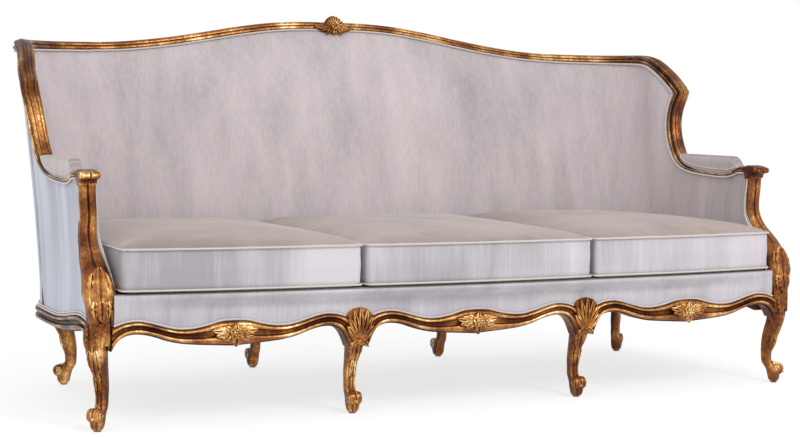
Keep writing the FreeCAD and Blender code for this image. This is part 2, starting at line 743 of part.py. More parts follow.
cord_end = front_mid_x - 38.5
outer_cord = front_cord([front_mid_x + 38.5] + outer_steps[1:-1])
wall_run = wall_cord(wall_runs[0], turn_end)
rear_run = wall_cord(turn_end, turn_end + 2 * corner_x)
centre_cord = front_cord([-cord_end] + centre_steps[1:-1] + [cord_end])
parts["rail_piping"] = Part.makeCompound([centre_cord, outer_cord, mirrored(outer_cord), wall_run,
                                          mirrored(wall_run), rear_run])

# Carved ornaments on the rails and the crest
def ornament(outline, centre, depths):
    rings = []
    for y, size in depths:
        rings.append([centre + Vec(x * size, y, z * size) for x, z in outline])
    return loft(rings)


flower_outline = [(-62, 3), (-34, 12), (-18, 22), (0, 25), (18, 22), (34, 12), (62, 3), (36, -16),
                  (18, -31), (0, -36), (-18, -31), (-36, -16)]
flowers = []
for x in (0, (front_corner_x + front_mid_x) / 2.0):
    rail = parts["front_rail_center"] if x == 0 else parts["front_rail_right"]
    layers = ((4, 1.0), (-13, 1.0), (-21, 0.8), (-28, 0.45))
    blank = ornament(flower_outline, Vec(x, front_face(x), 227), layers)
    flowers.append(seated(blank, rail, Vec(0, -2 * gap, 0)))
parts["rail_flowers"] = Part.makeCompound(flowers + [mirrored(flowers[1])])
crest_outline = [(-68, -4), (-46, 16), (-24, 30), (0, 47), (24, 30), (46, 16), (68, -4), (40, -10),
                 (20, -15), (0, -20), (-20, -15), (-40, -10)]
crest_y = lean_y(crest_z(0))
blank = ornament(crest_outline, Vec(0, 0, 2), ((-3.4, 1.0), (-12, 1.0), (-17, 0.8), (-22, 0.45)))
blank.rotate(Vec(0, 0, 0), Vec(1, 0, 0), -degrees(atan(back_lean)))
blank.translate(Vec(0, crest_y, crest_z(0)))
clear_cord = tube(crest_frames, inner_a, cord_b, piping_radius + 2 * gap)
blank = largest(blank.cut(parts["inside_back"]).cut(clear_cord))
parts["crest_cartouche"] = seated(blank, parts["crest_rail"], Vec(0, -2 * gap, 0))

# Loose cushions: a cover, its filling and two welts each
welt_out = 4.1
cushion_low = deck_top + gap
cushion_turn_y = 556.0
cushion_back = cushion_turn_y + cushion_outer_x - 7.3 - corner_x


def cushion_stations(x0, x1):
    """Stations across a cushion with the crown's height at each."""
    shares = [(0, 4), (0.04, 11), (0.12, 19), (0.3, 27), (0.5, cushion_crown), (0.7, 27), (0.82, 22),
              (0.9, 16), (0.96, 10), (1, 4)]
    return [(mix(x0, x1, s), h) for s, h in shares]


def cushion_form(x0, x1, inset):
    """The cushion as a loft of sections, flat below, bowed in front and crowned on top."""
    low, high = cushion_low + inset, cushion_low + cushion_boxing - inset
    rear = cushion_back - inset
    rings = []
    for x, crown in cushion_stations(x0 + inset, x1 - inset):
        front = front_bow(x) + 7.5 + inset
        ring = [Vec(x, rear, low), Vec(x, front, low)]
        ring += [Vec(x, front - 28 * t * (1 - t), mix(low, high, t)) for t in (0.2, 0.4, 0.6, 0.8)]
        for t in (0, 0.04, 0.12, 0.25, 0.45, 0.65, 0.82, 0.93, 1):
            rise = crown * (1 - (2 * t - 1) ** 4) ** 0.7
            ring.append(Vec(x, mix(front, rear, t), high + rise))
        rings.append(ring)
    form = loft(rings)
    if x1 < corner_x:
        return form
    reach = x1 - inset - corner_x
    outline = [Vec(corner_x + reach * cos(a), cushion_turn_y + reach * sin(a), 200)
               for a in steps(0, pi / 2, 9)]
    outline += [Vec(x0 - 50, cushion_turn_y + reach, 200), Vec(x0 - 50, -300, 200)]
    outline += [Vec(corner_x + reach, -300, 200)]
    return largest(form.common(Part.Face(Part.makePolygon(outline + outline[:1])).extrude(Vec(0, 0, 400))))


def welt(x0, x1, z):
    """A closed cord round the cushion's plan at a seam."""
    path = []
    for x in steps(x0 + 10, x1 - 10, 9):
        path.append((x, front_bow(x) + 7.5 - welt_out))
    first, last = front_bow(x0) + 7.5, front_bow(x1) + 7.5
    path += [(x1 + 2.8, last - 3.2), (x1 + welt_out, last + 6)]
    if x1 < corner_x:
        path += [(x1 + welt_out, cushion_back - 6), (x1 + 2.8, cushion_back + 3.2)]
        path += [(x1 - 10, cushion_back + welt_out)]
    else:
        reach = x1 - corner_x + welt_out
        for i in range(10):
            a = radians(10.0 * i)
            path.append((corner_x + reach * cos(a), cushion_turn_y + reach * sin(a)))
    path += [(x0 + 10, cushion_back + welt_out), (x0 - 2.8, cushion_back + 3.2),
             (x0 - welt_out, cushion_back - 6),
             (x0 - welt_out, first + 6), (x0 - 2.8, first - 3.2)]
    rings = []
    count = len(path)
    for i, (x, y) in enumerate(path):
        before, after = path[i - 1], path[(i + 1) % count]
        run = unit(Vec(after[0] - before[0], after[1] - before[1], 0))
        across = Vec(run.y, -run.x, 0)
        rings.append([Vec(x, y, z) + (across * cos(j * pi / 2) + Vec(0, 0, sin(j * pi / 2))) * piping_radius
                      for j in range(4)])
    faces = []
    for i in range(count):
        a, b = rings[i], rings[(i + 1) % count]
        for j in range(4):
            m = (j + 1) % 4
            faces.append(Part.Face(Part.makePolygon([a[j], b[j], b[m], a[j]])))
            faces.append(Part.Face(Part.makePolygon([a[j], b[m], a[m], a[j]])))
    solid = Part.makeSolid(Part.makeShell(faces))
    return solid if solid.Volume > 0 else solid.reversed()


def cushion(name, x0, x1):
    parts[name + "_cover"] = cushion_form(x0, x1, 0).cut(cushion_form(x0, x1, cover_cloth))
    parts[name + "_filling"] = cushion_form(x0, x1, cover_cloth + gap)
    parts[name + "_welts"] = Part.makeCompound([welt(x0, x1, cushion_low + piping_radius + gap),
                                                welt(x0, x1, cushion_low + cushion_boxing)])


side_gap = 7.3
cushion("cushion_center", -cushion_joint_x + side_gap, cushion_joint_x - side_gap)
cushion("cushion_right", cushion_joint_x + side_gap, cushion_outer_x - side_gap)
for piece in ("cover", "filling", "welts"):
    parts["cushion_left_" + piece] = mirrored(parts["cushion_right_" + piece])

# Origin at the middle of the footprint's box, on the floor
whole = FreeCAD.BoundBox()
for shape in parts.values():
    whole.add(shape.optimalBoundingBox(True, False))
shift = Vec(-(whole.XMin + whole.XMax) / 2, -(whole.YMin + whole.YMax) / 2, -whole.ZMin)
os.makedirs("parts", exist_ok=True)
for name in parts:
    shape = parts[name]
    shape.translate(shift)
    shape.exportStep("parts/" + name + ".step")
print(len(parts), "parts; size", round(whole.XLength, 1), round(whole.YLength, 1), round(whole.ZLength, 1),
      "shift", round(shift.x, 2), round(shift.y, 2), round(shift.z, 2))
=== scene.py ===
"""A carved and gilded three-seat cabriole sofa, dressed over its CAD frame.

Every piece is a surface worked out with numpy in the frame's own millimetres (x to the right, y to the
back from the line of the front feet, z up) and put in place in metres. Rings of points are swept along
the lines of the frame, so the mouldings, piping and cloth all follow the same curves.
"""
import math

import bpy
import numpy as np
from mathutils import Matrix, Vector


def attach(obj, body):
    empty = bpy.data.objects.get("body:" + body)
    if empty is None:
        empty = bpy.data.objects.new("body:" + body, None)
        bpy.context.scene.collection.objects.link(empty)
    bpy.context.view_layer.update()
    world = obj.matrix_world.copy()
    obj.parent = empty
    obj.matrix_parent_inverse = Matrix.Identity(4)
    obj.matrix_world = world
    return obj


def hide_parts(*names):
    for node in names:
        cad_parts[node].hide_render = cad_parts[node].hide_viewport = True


bl_info = {
    "name": "Cabriole Sofa",
    "version": (1, 0, 0),
    "blender": (4, 5, 0),
    "location": "3D View > Sidebar > Sofa",
    "description": "Builds the show-wood, cloth and cushions of a cabriole sofa",
    "category": "Object",
}

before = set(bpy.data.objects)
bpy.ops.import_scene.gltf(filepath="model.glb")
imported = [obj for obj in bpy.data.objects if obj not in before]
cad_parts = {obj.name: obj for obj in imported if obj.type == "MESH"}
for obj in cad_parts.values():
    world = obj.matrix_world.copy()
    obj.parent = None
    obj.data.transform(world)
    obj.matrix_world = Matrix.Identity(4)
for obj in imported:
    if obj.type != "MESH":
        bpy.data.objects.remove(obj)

# The frame's sizes in millimetres

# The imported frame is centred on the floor, which moved it by this much
SHIFT = np.array([0.0, -441.76, 0.0])
CAP_WIDTH, CAP_HEIGHT, ARM_HEIGHT = 41.0, 27.0, 16.0
# The round rear corners, whose radius grows from foot to head
CORNER_X, CORNER_Y, CORNER_R, EAR_R = 770.0, 560.0, 192.0, 225.0
EAR_FLARE = EAR_R - CORNER_R
# Inner faces of the walls, their foot and the heights of the ears and of the crest's ends
WALL_X, BACK_Y, WALL_LOW, EAR_Z, CREST_END = 962.0, 752.0, 295.3, 930.0, 936.0
WALL_FRONT = -14.0
RAIL_TOP = 295.0
# How far the back leans for each millimetre of height
LEAN = 0.25
EAR_Y = BACK_Y + LEAN * (CREST_END - RAIL_TOP) - EAR_R
# From the inner cloth line to the outer cloth, the thickness of that cloth and of a pad at its edge
COVER, CLOTH, PAD = 36.1, 2.5, 7.5
# Heights of the deck and of the flowers on the rails
DECK, FLOWER_Z = 329.0, 229
# Places of the posts, the front middle legs and the outer flowers to either side of the middle
POST_X, LEG_X, FLOWER_X = 1000.0, 334.0, 667.0
# A welt lies this far over the cushion's bottom
WELT_RISE = 9.0
# A rail stops this far from the middle of a leg
RAIL_GAP = 25.0
LEFT = np.array([-1.0, 1.0, 1.0])
SIDES = (("right", False), ("left", True))


# Curves

def unit(v):
    """Directions of length one."""
    return v / np.maximum(np.linalg.norm(v, axis=-1, keepdims=True), 1e-9)


def mix(a, b, t):
    """From a at t = 0 to b at t = 1."""
    return a + (b - a) * t


def ease(t, low=0.0, high=1.0):
    """The smooth step 3t^2 - 2t^3 from low to high."""
    t = np.clip((t - low) / (high - low), 0, 1)
    return t * t * (3 - 2 * t)


def profile(points, x):
    """Height h(x) through (x, h) pairs: cubic pieces whose slope at a point is that of its neighbours."""
    px, ph = np.array(points, float).T
    before = np.maximum(np.arange(len(px)) - 1, 0)
    after = np.minimum(np.arange(len(px)) + 1, len(px) - 1)
    slope = (ph[after] - ph[before]) / (px[after] - px[before])
    x = np.clip(x, px[0], px[-1])
    i = np.clip(np.searchsorted(px, x) - 1, 0, len(px) - 2)
    span = px[i + 1] - px[i]
    t = (x - px[i]) / span
    rise = ph[i] * (1 + 2 * t) * (1 - t) ** 2 + ph[i + 1] * t * t * (3 - 2 * t)
    return rise + span * (slope[i] * t * (1 - t) ** 2 - slope[i + 1] * t * t * (1 - t))


def curve(points, count, closed=False):
    """A smooth line through points, at even steps of its chord length."""
    p = np.array(points, float)
    if closed:
        p = np.vstack([p[-2:], p, p[:3]])
    s = np.concatenate([[0], np.cumsum(np.linalg.norm(np.diff(p, axis=0), axis=1))])
    if closed:
        q = np.linspace(s[2], s[-3], count, endpoint=False)
    else:
        q = np.linspace(0, s[-1], count)
    return np.stack([profile(np.stack([s, p[:, k]], 1), q) for k in range(p.shape[1])], 1)


def softened(p, width):
    """A line averaged along its length with weights exp(-(i / width)^2 / 2), its ends kept."""
    reach = int(3 * width)
    weights = np.exp(-0.5 * (np.arange(-reach, reach + 1) / width) ** 2)
    before, after = 2 * p[0] - p[reach:0:-1], 2 * p[-1] - p[-2:-reach - 2:-1]
    whole = np.concatenate([before, p, after])
    return np.stack([np.convolve(whole[:, k], weights / weights.sum(), "valid") for k in range(3)], 1)


def tangents(p):
    """Directions along a line."""
    return unit(np.gradient(p, axis=0))


# Lines of the frame

def crest_z(x):
    """The crest's height: 80 mm times a serpentine share of its middle rise."""
    rise = [(0, 1.0), (100, 0.995), (200, 0.915), (300, 0.745), (416, 0.49), (520, 0.275),
            (640, 0.09), (725, 0.014), (CORNER_X, 0.0)]
    return CREST_END + 80.0 * profile(rise, np.abs(x))


def lean_y(z):
    """The back's inner face at a height."""
    return BACK_Y + LEAN * (z - RAIL_TOP)


def side_point(k, s, offset=0.0):
    """The side wall: x = 962 + flare (0.066 s + 0.934 s^2) + swell, y between its foot and head lines."""
    flare = mix(75.0, EAR_FLARE, ease(k, 0.8, 1.0))
    swell = 9.0 * np.maximum(1 - k, 0) ** 3 * np.exp(-((s - 0.22) / 0.1) ** 2)
    x = WALL_X + flare * (0.066 * s + 0.934 * s * s) + swell + offset
    y = WALL_FRONT + k * (mix(CORNER_Y, EAR_Y, s) - WALL_FRONT)
    return np.stack(np.broadcast_arrays(x, y, mix(WALL_LOW, EAR_Z, s)), -1)


def side_at(y, z, offset=0.0):
    """The side wall's point over y at height z: k and s of side_point solved for them."""
    y, z = np.broadcast_arrays(np.asarray(y, float), np.asarray(z, float))
    s = np.maximum((z - WALL_LOW) / (EAR_Z - WALL_LOW), 0)
    k = (y - WALL_FRONT) / (mix(CORNER_Y, EAR_Y, s) - WALL_FRONT)
    found = side_point(k, s, offset)
    found[..., 2] = z
    return found


def turned_lean(turn):
    """The angle at which the round corner leans outwards, by how far it has turned."""
    return np.arctan((EAR_FLARE + (EAR_Y - CORNER_Y) * np.sin(turn)) / (EAR_Z - WALL_LOW))


def back_sections(x):
    """Feet, heads, outward directions, bulges and leans of upright sections of the back."""
    top = crest_z(x)
    feet = np.stack([x, np.full_like(x, BACK_Y), np.full_like(x, WALL_LOW)], 1)
    heads = np.stack([x, lean_y(top), top], 1)
    out = np.tile([0.0, 1.0, 0.0], (len(x), 1))
    return feet, heads, out, np.full_like(x, 28.0), np.full_like(x, 4.0), np.full_like(x, math.atan(LEAN))


def corner_sections(degrees):
    """The same round a rear corner: zero degrees is its side end and ninety its back end."""
    a, share = np.radians(degrees), degrees / 90.0
    out = np.stack([np.cos(a), np.sin(a), 0 * a], 1)
    feet = np.array([CORNER_X, CORNER_Y, WALL_LOW]) + out * CORNER_R
    heads = np.stack([CORNER_X + 0 * a, EAR_Y + 0 * a, mix(EAR_Z, CREST_END, share)], 1) + out * EAR_R
    return feet, heads, out, mix(7.7, 28.0, share), mix(7.7, 4.0, share), turned_lean(a)


def wall_points(sections, t, offset, bulge):
    """foot + rise t + outward (offset - 4 bulge t (1 - t)), the head dropped square to the lean."""
    feet, heads, out, _, _, lean = sections
    t = t[None, :, None]
    lean, bulge = lean[:, None, None], bulge[:, None, None]
    rise = (heads - feet)[:, None]
    drop = rise * (-(offset * np.tan(lean) + 0.9) / rise[..., 2:] * t ** 8)
    reach = offset * mix(1, 1 / np.cos(lean), t) - bulge * 4 * t * (1 - t)
    return feet[:, None] + rise * t + out[:, None] * reach + drop


def scallop(points, x):
    """A height that repeats in each of the front's three bays, mirrored about the bay's middle."""
    x = np.abs(x)
    outer = np.abs(x - FLOWER_X) * LEG_X / (FLOWER_X - LEG_X)
    return profile(points, np.where(x > LEG_X, outer, x))


def front_top(x):
    """The cloth line along the front rail."""
    return scallop([(0, 257), (35, 255), (75, 245), (110, 239.5), (145, 240), (180, 248), (215, 258),
                    (245, 263), (275, 260), (305, 251), (334, 245)], x)


def front_low(x):
    """The front rail's lower edge."""
    return scallop([(0, 198), (60, 202), (100, 205), (135, 209), (170, 217), (205, 229),
                    (235, 235.5), (260, 236), (285, 231), (305, 222), (334, 208)], x)


def front_face(x):
    """The front rail's face, -36 in the middle and -23 at the posts: a parabola."""
    return mix(-36.0, -23.0, (x / 1000.0) ** 2)


def side_top(run):
    """The cloth line along the side and rear rails, by the way run from the front corner."""
    return profile([(0, 243), (60, 250), (150, 259), (225, 253), (300, 241), (380, 233), (460, 231),
                    (560, 232), (700, 236), (860, 240)], run)


def side_low(run):
    """Their lower edge."""
    return profile([(0, 208), (60, 217), (130, 228), (200, 220), (300, 209), (420, 202), (540, 202),
                    (700, 206), (860, 209)], run)


TURN_END = CORNER_Y + CORNER_R * math.pi / 2


def wall_plan(run, offset):
    """Plan points and outward directions along the wall from the front corner to the middle of the back."""
    a = np.clip((run - CORNER_Y) / CORNER_R, 0, math.pi / 2)
    out = np.stack([np.cos(a), np.sin(a), 0 * a], -1)
    centre = np.stack([CORNER_X - np.maximum(run - TURN_END, 0), np.minimum(run, CORNER_Y), 0 * a], -1)
    return centre + out * (CORNER_R + offset), out


def front_bow(x):
    """The cushions' bowed front line."""
    bow = [(0, 60), (170, 57), (320, 50), (336, 47), (400, 46), (645, 36), (900, 10), (955, 0)]
    return -34.0 - profile(bow, np.abs(x))


def upright_frame(t, out, lean):
    """Across and up of the wall's own frame, square to the run."""
    up = out * np.sin(lean)[:, None] + np.array([0, 0, 1.0]) * np.cos(lean)[:, None]
    up = unit(up - t * np.sum(up * t, 1, keepdims=True))
    return unit(np.cross(up, t)), up


def edge_frame(t):
    """Across and up for a line that turns in the upright plane of y and z."""
    w = unit(np.stack([0 * t[:, 0], t[:, 2], -t[:, 1]], 1))
    across = unit(np.cross(w, t))
    return across, unit(np.cross(t, across))


def mitre(before, after):
    """The frame in the plane that halves a turn, its up lengthened to meet both runs."""
    a, b = edge_frame(before), edge_frame(after)
    up = unit(a[1] + b[1])
    return unit(a[0] + b[0]), up / np.sum(up * a[1], 1, keepdims=True)


def crest_line(x):
    """The cloth line along the crest, with its frame."""
    p = np.stack([x, lean_y(crest_z(x)), crest_z(x)], 1)
    out = np.tile([0.0, 1.0, 0.0], (len(x), 1))
    across, up = upright_frame(tangents(p), out, np.full(len(x), math.atan(LEAN)))
    return p, across, up


MITRE = side_at(553.0, 834.0)
EAR_RUN = np.array([[0, -0.72, -0.69]])
WING_RUN = np.array([[-0.1, 0.3, -0.95]])


def ear_line(count=110):
    """The cloth line from the end of the crest round the ear to the mitre."""
    heads = corner_sections(np.linspace(90, 0, 9))[1]
    side = [side_at(y, z) for y, z in ((650, 909), (617, 886), (584, 860))]
    p = curve(list(heads) + side + [MITRE], count)
    lower = softened(p, count * 0.075)
    p[:, 2] = lower[:, 2]
    t = tangents(p)
    t[-1] = unit(EAR_RUN[0])
    turn = np.maximum(np.arctan2(p[:, 1] - EAR_Y, p[:, 0] - CORNER_X), 0)
    out = np.stack([np.cos(turn), np.sin(turn), 0 * turn], 1)
    a0, u0 = upright_frame(t, out, turned_lean(turn))
    a1, u1 = edge_frame(t)
    w = ease(p[:, 1], EAR_Y + 15, EAR_Y - 25)[:, None]
    across, up = unit(mix(a0, a1, w)), unit(mix(u0, u1, w))
    across[-1:], up[-1:] = mitre(EAR_RUN, WING_RUN)
    return p, across, up


WING = [(561, 803), (563, 768), (557, 728), (543, 689), (521, 654), (491, 624), (452, 605),
        (400, 595), (330, 590), (260, 588), (218, 589), (190, 595), (165, 603)]


def wing_line(count=230):
    """The cloth line down the wing and along the arm, with the cap's height at each point."""
    last = side_at(136.3, 605.0) - np.array([3.0, 0, 0])
    knots = np.array([MITRE] + [side_at(y, z) for y, z in WING] + [last])
    p = curve(knots, count)
    t = tangents(p)
    across, up = edge_frame(t)
    across[:1], up[:1] = mitre(EAR_RUN, WING_RUN)
    heights = [CAP_HEIGHT] * 5 + [25, 22, 19, 17] + [ARM_HEIGHT] * 6
    s = np.concatenate([[0], np.cumsum(np.linalg.norm(np.diff(knots, axis=0), axis=1))])
    run = np.linspace(0, s[-1], count)
    return p, across, up, profile(np.stack([s, heights], 1), run), run / s[6]


CAP = [(2, -4), (0.5, 0), (-1.8, 1.2), (-3.3, 3.4), (-3.5, 6.2), (-2.2, 8.8), (0.6, 9.9), (2.2, 11.0),
       (2.3, 12.6), (1.0, 13.6), (0.4, 15.2), (0.8, 18.2), (2.6, 21.8), (5.8, 24.4), (9.2, 25.4),
       (11.6, 25.0), (13.4, 26.2), (16.6, 27.6), (20.5, 28.0)]


def cap_section(count=84):
    """The cap's outline: inner bead, groove, ovolo, fillet and crown, and the same outside."""
    right = [(CAP_WIDTH - a, b) for a, b in reversed(CAP[:-1])]
    return curve(CAP + right, count, closed=True)


# Meshes


class Form:
    """Surfaces gathered into one mesh, each point with how hollow the surface is there."""

    def __init__(self):
        self.points, self.faces, self.hollow, self.count = [], [], [], 0

    def rings(self, p, closed=False, mirror=False):
        """A skin over rings p[i, j]; closed joins the last ring to the first."""
        p = np.array(p, float)
        if mirror:
            p = p * LEFT
        n, m = p.shape[:2]
        after = np.roll(p, -1, 1)
        before = np.roll(p, 1, 1)
        if closed:
            ahead, behind = np.roll(p, -1, 0), np.roll(p, 1, 0)
        else:
            ahead = np.concatenate([p[1:], p[-1:]])
            behind = np.concatenate([p[:1], p[:-1]])
        normal = unit(np.cross(ahead - behind, after - before))
        outward = np.sum(normal * (p - p.mean(1, keepdims=True)))
        if outward < 0:
            normal = -normal
        bend = 0
        for a, b in ((ahead, behind), (after, before)):
            span = np.maximum(np.sum(((a - b) / 2) ** 2, -1), 0.3)
            bend = bend + np.sum((a + b - 2 * p) * normal, -1) / span
        i, j = np.meshgrid(np.arange(n if closed else n - 1), np.arange(m), indexing="ij")
        i1, j1 = (i + 1) % n, (j + 1) % m
        quads = np.stack([i * m + j, i1 * m + j, i1 * m + j1, i * m + j1], -1).reshape(-1, 4)
        if outward < 0:
            quads = quads[:, ::-1]
        self.faces += (quads + self.count).tolist()
        self.points.append(p.reshape(-1, 3))
        # How hollow each point is; the gilding turns this into painted shade in hollows and a painted
        # highlight on rounded edges.
        self.hollow.append(np.clip(bend * 3.0, -1, 1).ravel())
        base = self.count
        self.count += n * m
        if not closed:
            for ring, turn in ((0, 1), (n - 1, -1)):
                edge = base + ring * m + np.arange(m)
                edge = edge[::turn] if outward >= 0 else edge[::-turn]
                self.points.append(p[ring].mean(0)[None])
                self.hollow.append(np.zeros(1))
                around = np.stack([np.full(m, self.count), edge, np.roll(edge, -1)], 1)
                self.faces += around.tolist()
                self.count += 1
        return self

    def pair(self, p, **options):
        """The same skin on the right and the left."""
        self.rings(p, **options)
        return self.rings(p, mirror=True, **options)

    def make(self, name, material, body="frame", nodes=(), sharp=50.0):
        """The mesh as an object that rides on a body and stands for CAD nodes."""
        p = (np.concatenate(self.points) + SHIFT) * 0.001
        mesh = bpy.data.meshes.new(name)
        mesh.from_pydata(p.tolist(), [], self.faces)
        mesh.shade_smooth()
        mesh.set_sharp_from_angle(angle=math.radians(sharp))
        layer = mesh.attributes.new("hollow", "FLOAT", "POINT")
        layer.data.foreach_set("value", np.concatenate(self.hollow).astype(np.float32))
        mesh.materials.append(material)
        obj = bpy.data.objects.new(name, mesh)
        bpy.context.scene.collection.objects.link(obj)
        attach(obj, body)
        if nodes:
            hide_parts(*nodes)
        return obj


def sweep(line, section, scale=1.0):
    """Rings of a flat section (across, up) carried along a line of frames."""
    p, across, up = line[:3]
    scale = np.broadcast_to(scale, (len(p),))[:, None, None]
    a, b = section[None, :, :1], section[None, :, 1:]
    return p[:, None] + across[:, None] * a + up[:, None] * b * scale


def cord(points, radius, closed=False):
    """A round cord along a line."""
    p = np.asarray(points, float)
    t = unit(np.roll(p, -1, 0) - np.roll(p, 1, 0)) if closed else tangents(p)
    seed = np.where(np.abs(t[:, 2:]) < 0.8, np.array([0, 0, 1.0]), np.array([1.0, 0, 0]))
    a = unit(np.cross(t, seed))
    b = np.cross(t, a)
    w = np.linspace(0, 2 * math.pi, 10, endpoint=False)[None, :, None]
    return p[:, None] + (a[:, None] * np.cos(w) + b[:, None] * np.sin(w)) * radius


def leaf(root, tip, normal, width, thick=4.0, lift=4.0, lobes=0.0, curl=0.0, count=22):
    """A carved leaf: w(u) = width / 2 sin(pi u^0.75)^0.75 with lobes, a midrib and a lifted tip."""
    root, tip, normal = (np.asarray(v, float) for v in (root, tip, normal))
    run = tip - root
    length = np.linalg.norm(run)
    run = run / length
    normal = unit(normal - run * np.dot(normal, run))
    side = np.cross(normal, run)
    u = np.linspace(0.02, 0.99, count)
    w = width / 2 * np.sin(math.pi * u ** 0.75) ** 0.75 * (1 - lobes * 0.5 * (1 + np.cos(u * 8 * math.pi)))
    spine = root + run * (u * length)[:, None] + normal * (lift * np.sin(math.pi * u * 0.8))[:, None]
    spine = spine + side * (curl * u ** 2)[:, None]
    v = np.linspace(0, 2 * math.pi, 20, endpoint=False)
    across = np.cos(v)
    high = np.where(np.sin(v) > 0, np.abs(np.sin(v)) ** 0.8, -0.7)
    high = high * np.where(np.sin(v) > 0, 1 - 0.55 * np.exp(-(across / 0.22) ** 2), 1)
    return (spine[:, None] + side * (w[:, None] * across)[..., None]
            + normal * (thick * (0.35 + 0.65 * np.sin(math.pi * u) ** 0.5)[:, None] * high)[..., None])


def ball(centre, radius, flat=1.0, normal=(0, -1, 0), count=16):
    """A round boss, flattened along a direction."""
    normal = unit(np.asarray(normal, float))
    a = unit(np.cross(normal, [0.3, 0.1, 1.0]))
    b = np.cross(normal, a)
    u = np.linspace(0.05, math.pi - 0.05, count)[:, None, None]
    w = np.linspace(0, 2 * math.pi, 18, endpoint=False)[None, :, None]
    round_part = (a * np.cos(w) + b * np.sin(w)) * np.sin(u) * radius
    return np.asarray(centre, float) + round_part + normal * np.cos(u) * radius * flat


def rosette(form, centre, radius, normal=(0, -1, 0), mirror=False):
    """Two rows of five petals round a button."""
    centre, normal = np.asarray(centre, float), unit(np.asarray(normal, float))
    a = unit(np.cross(normal, [0.0, 0.0, 1.0]))
    b = np.cross(a, normal)
    for size, lift, turn in ((1.0, 0.0, 0.0), (0.62, 4.0, 0.5)):
        for i in range(5):
            w = 2 * math.pi * (i + turn) / 5 + 0.3
            away = a * math.cos(w) + b * math.sin(w)
            root = centre + normal * lift
            tip = root + away * radius * size + normal * 1.5
            form.rings(leaf(root, tip, normal, radius * size * 1.25, 4.5, 5.0), mirror=mirror)
    form.rings(ball(centre + normal * 7, radius * 0.24, 0.9, normal), mirror=mirror)


# Materials

def linear(r, g, b):
    """The linear colour of an 8-bit one."""
    found = []
    for c in (r / 255.0, g / 255.0, b / 255.0):
        found.append(c / 12.92 if c <= 0.04045 else ((c + 0.055) / 1.055) ** 2.4)
    return (*found, 1.0)


class Nodes:
    """A short way to add nodes to a tree and link them."""

    def __init__(self, tree):
        self.tree = tree

    def add(self, kind, **settings):
        node = self.tree.nodes.new(kind)
        for key, value in settings.items():
            if key.startswith("in_"):
                node.inputs[key[3:].replace("_", " ")].default_value = value
            else:
                setattr(node, key, value)
        return node

    def link(self, source, target):
        self.tree.links.new(source, target)

    def feed(self, socket, value):
        """Links a socket, or sets its plain value."""
        if isinstance(value, bpy.types.NodeSocket):
            self.link(value, socket)
        else:
            socket.default_value = value

    def noise(self, stretch, scale, detail):
        """Noise over the object's own coordinates, stretched along its axes."""
        place = self.add("ShaderNodeTexCoord")
        fit = self.add("ShaderNodeMapping")
        self.feed(fit.inputs["Scale"], stretch)
        self.link(place.outputs["Object"], fit.inputs["Vector"])
        node = self.add("ShaderNodeTexNoise", in_Detail=detail)
        self.feed(node.inputs["Scale"], scale)
        self.link(fit.outputs[0], node.inputs["Vector"])
        return node.outputs[0]

    def math(self, kind, a, b, c=None, clamp=False):
        node = self.add("ShaderNodeMath", operation=kind, use_clamp=clamp)
        for socket, value in zip(node.inputs, (a, b, c)):
            if value is not None:
                self.feed(socket, value)
        return node.outputs[0]

    def ramp(self, source, *stops):
        """Colours along a value."""
        node = self.add("ShaderNodeValToRGB")
        ramp = node.color_ramp
        while len(ramp.elements) < len(stops):
            ramp.elements.new(0.5)
        for element, (at, colour) in zip(ramp.elements, stops):
            element.position, element.color = at, colour
        self.link(source, node.inputs[0])
        return node.outputs[0]

    def blend(self, factor, a, b):
        node = self.add("ShaderNodeMix", data_type="RGBA")
        for socket, value in ((node.inputs[0], factor), (node.inputs[6], a), (node.inputs[7], b)):
            self.link(value, socket)
        return node.outputs[2]

    def normal_axis(self, axis):
        place = self.add("ShaderNodeTexCoord")
        split = self.add("ShaderNodeSeparateXYZ")
        self.link(place.outputs["Normal"], split.inputs[0])
        return split.outputs[axis]


class Shader(Nodes):
    """A material with a Principled shader."""

    def __init__(self, name):
        self.material = bpy.data.materials.new(name)
        self.material.use_nodes = True
        self.material.diffuse_color = (0.6, 0.5, 0.4, 1)
        super().__init__(self.material.node_tree)
        self.tree.nodes.clear()
        out = self.add("ShaderNodeOutputMaterial")
        self.main = self.add("ShaderNodeBsdfPrincipled")
        self.link(self.main.outputs[0], out.inputs[0])

    def bump(self, height, strength, distance):
        node = self.add("ShaderNodeBump", in_Strength=strength, in_Distance=distance)
        self.link(height, node.inputs["Height"])
        self.link(node.outputs[0], self.main.inputs["Normal"])

    def place(self, group, **values):
        """The outputs of a node group, placed with its own values."""
        node = self.add("ShaderNodeGroup", node_tree=group)
        for name, value in values.items():
            node.inputs[name].default_value = value
        return node.outputs


def node_group(name, inputs, outputs, wire):
    """A shader node group, built once; wire(nodes, given) says what feeds each of its outputs."""
    if name in bpy.data.node_groups:
        return bpy.data.node_groups[name]
    group = bpy.data.node_groups.new(name, "ShaderNodeTree")
    for label, kind in inputs.items():
        group.interface.new_socket(name=label, in_out="INPUT", socket_type=kind)
    for label in outputs:
        group.interface.new_socket(name=label, in_out="OUTPUT", socket_type="NodeSocketFloat")
    nodes = Nodes(group)
    given = nodes.add("NodeGroupInput").outputs
    taken = nodes.add("NodeGroupOutput").inputs
    for label, value in wire(nodes, given).items():
        nodes.link(value, taken[label])
    return group


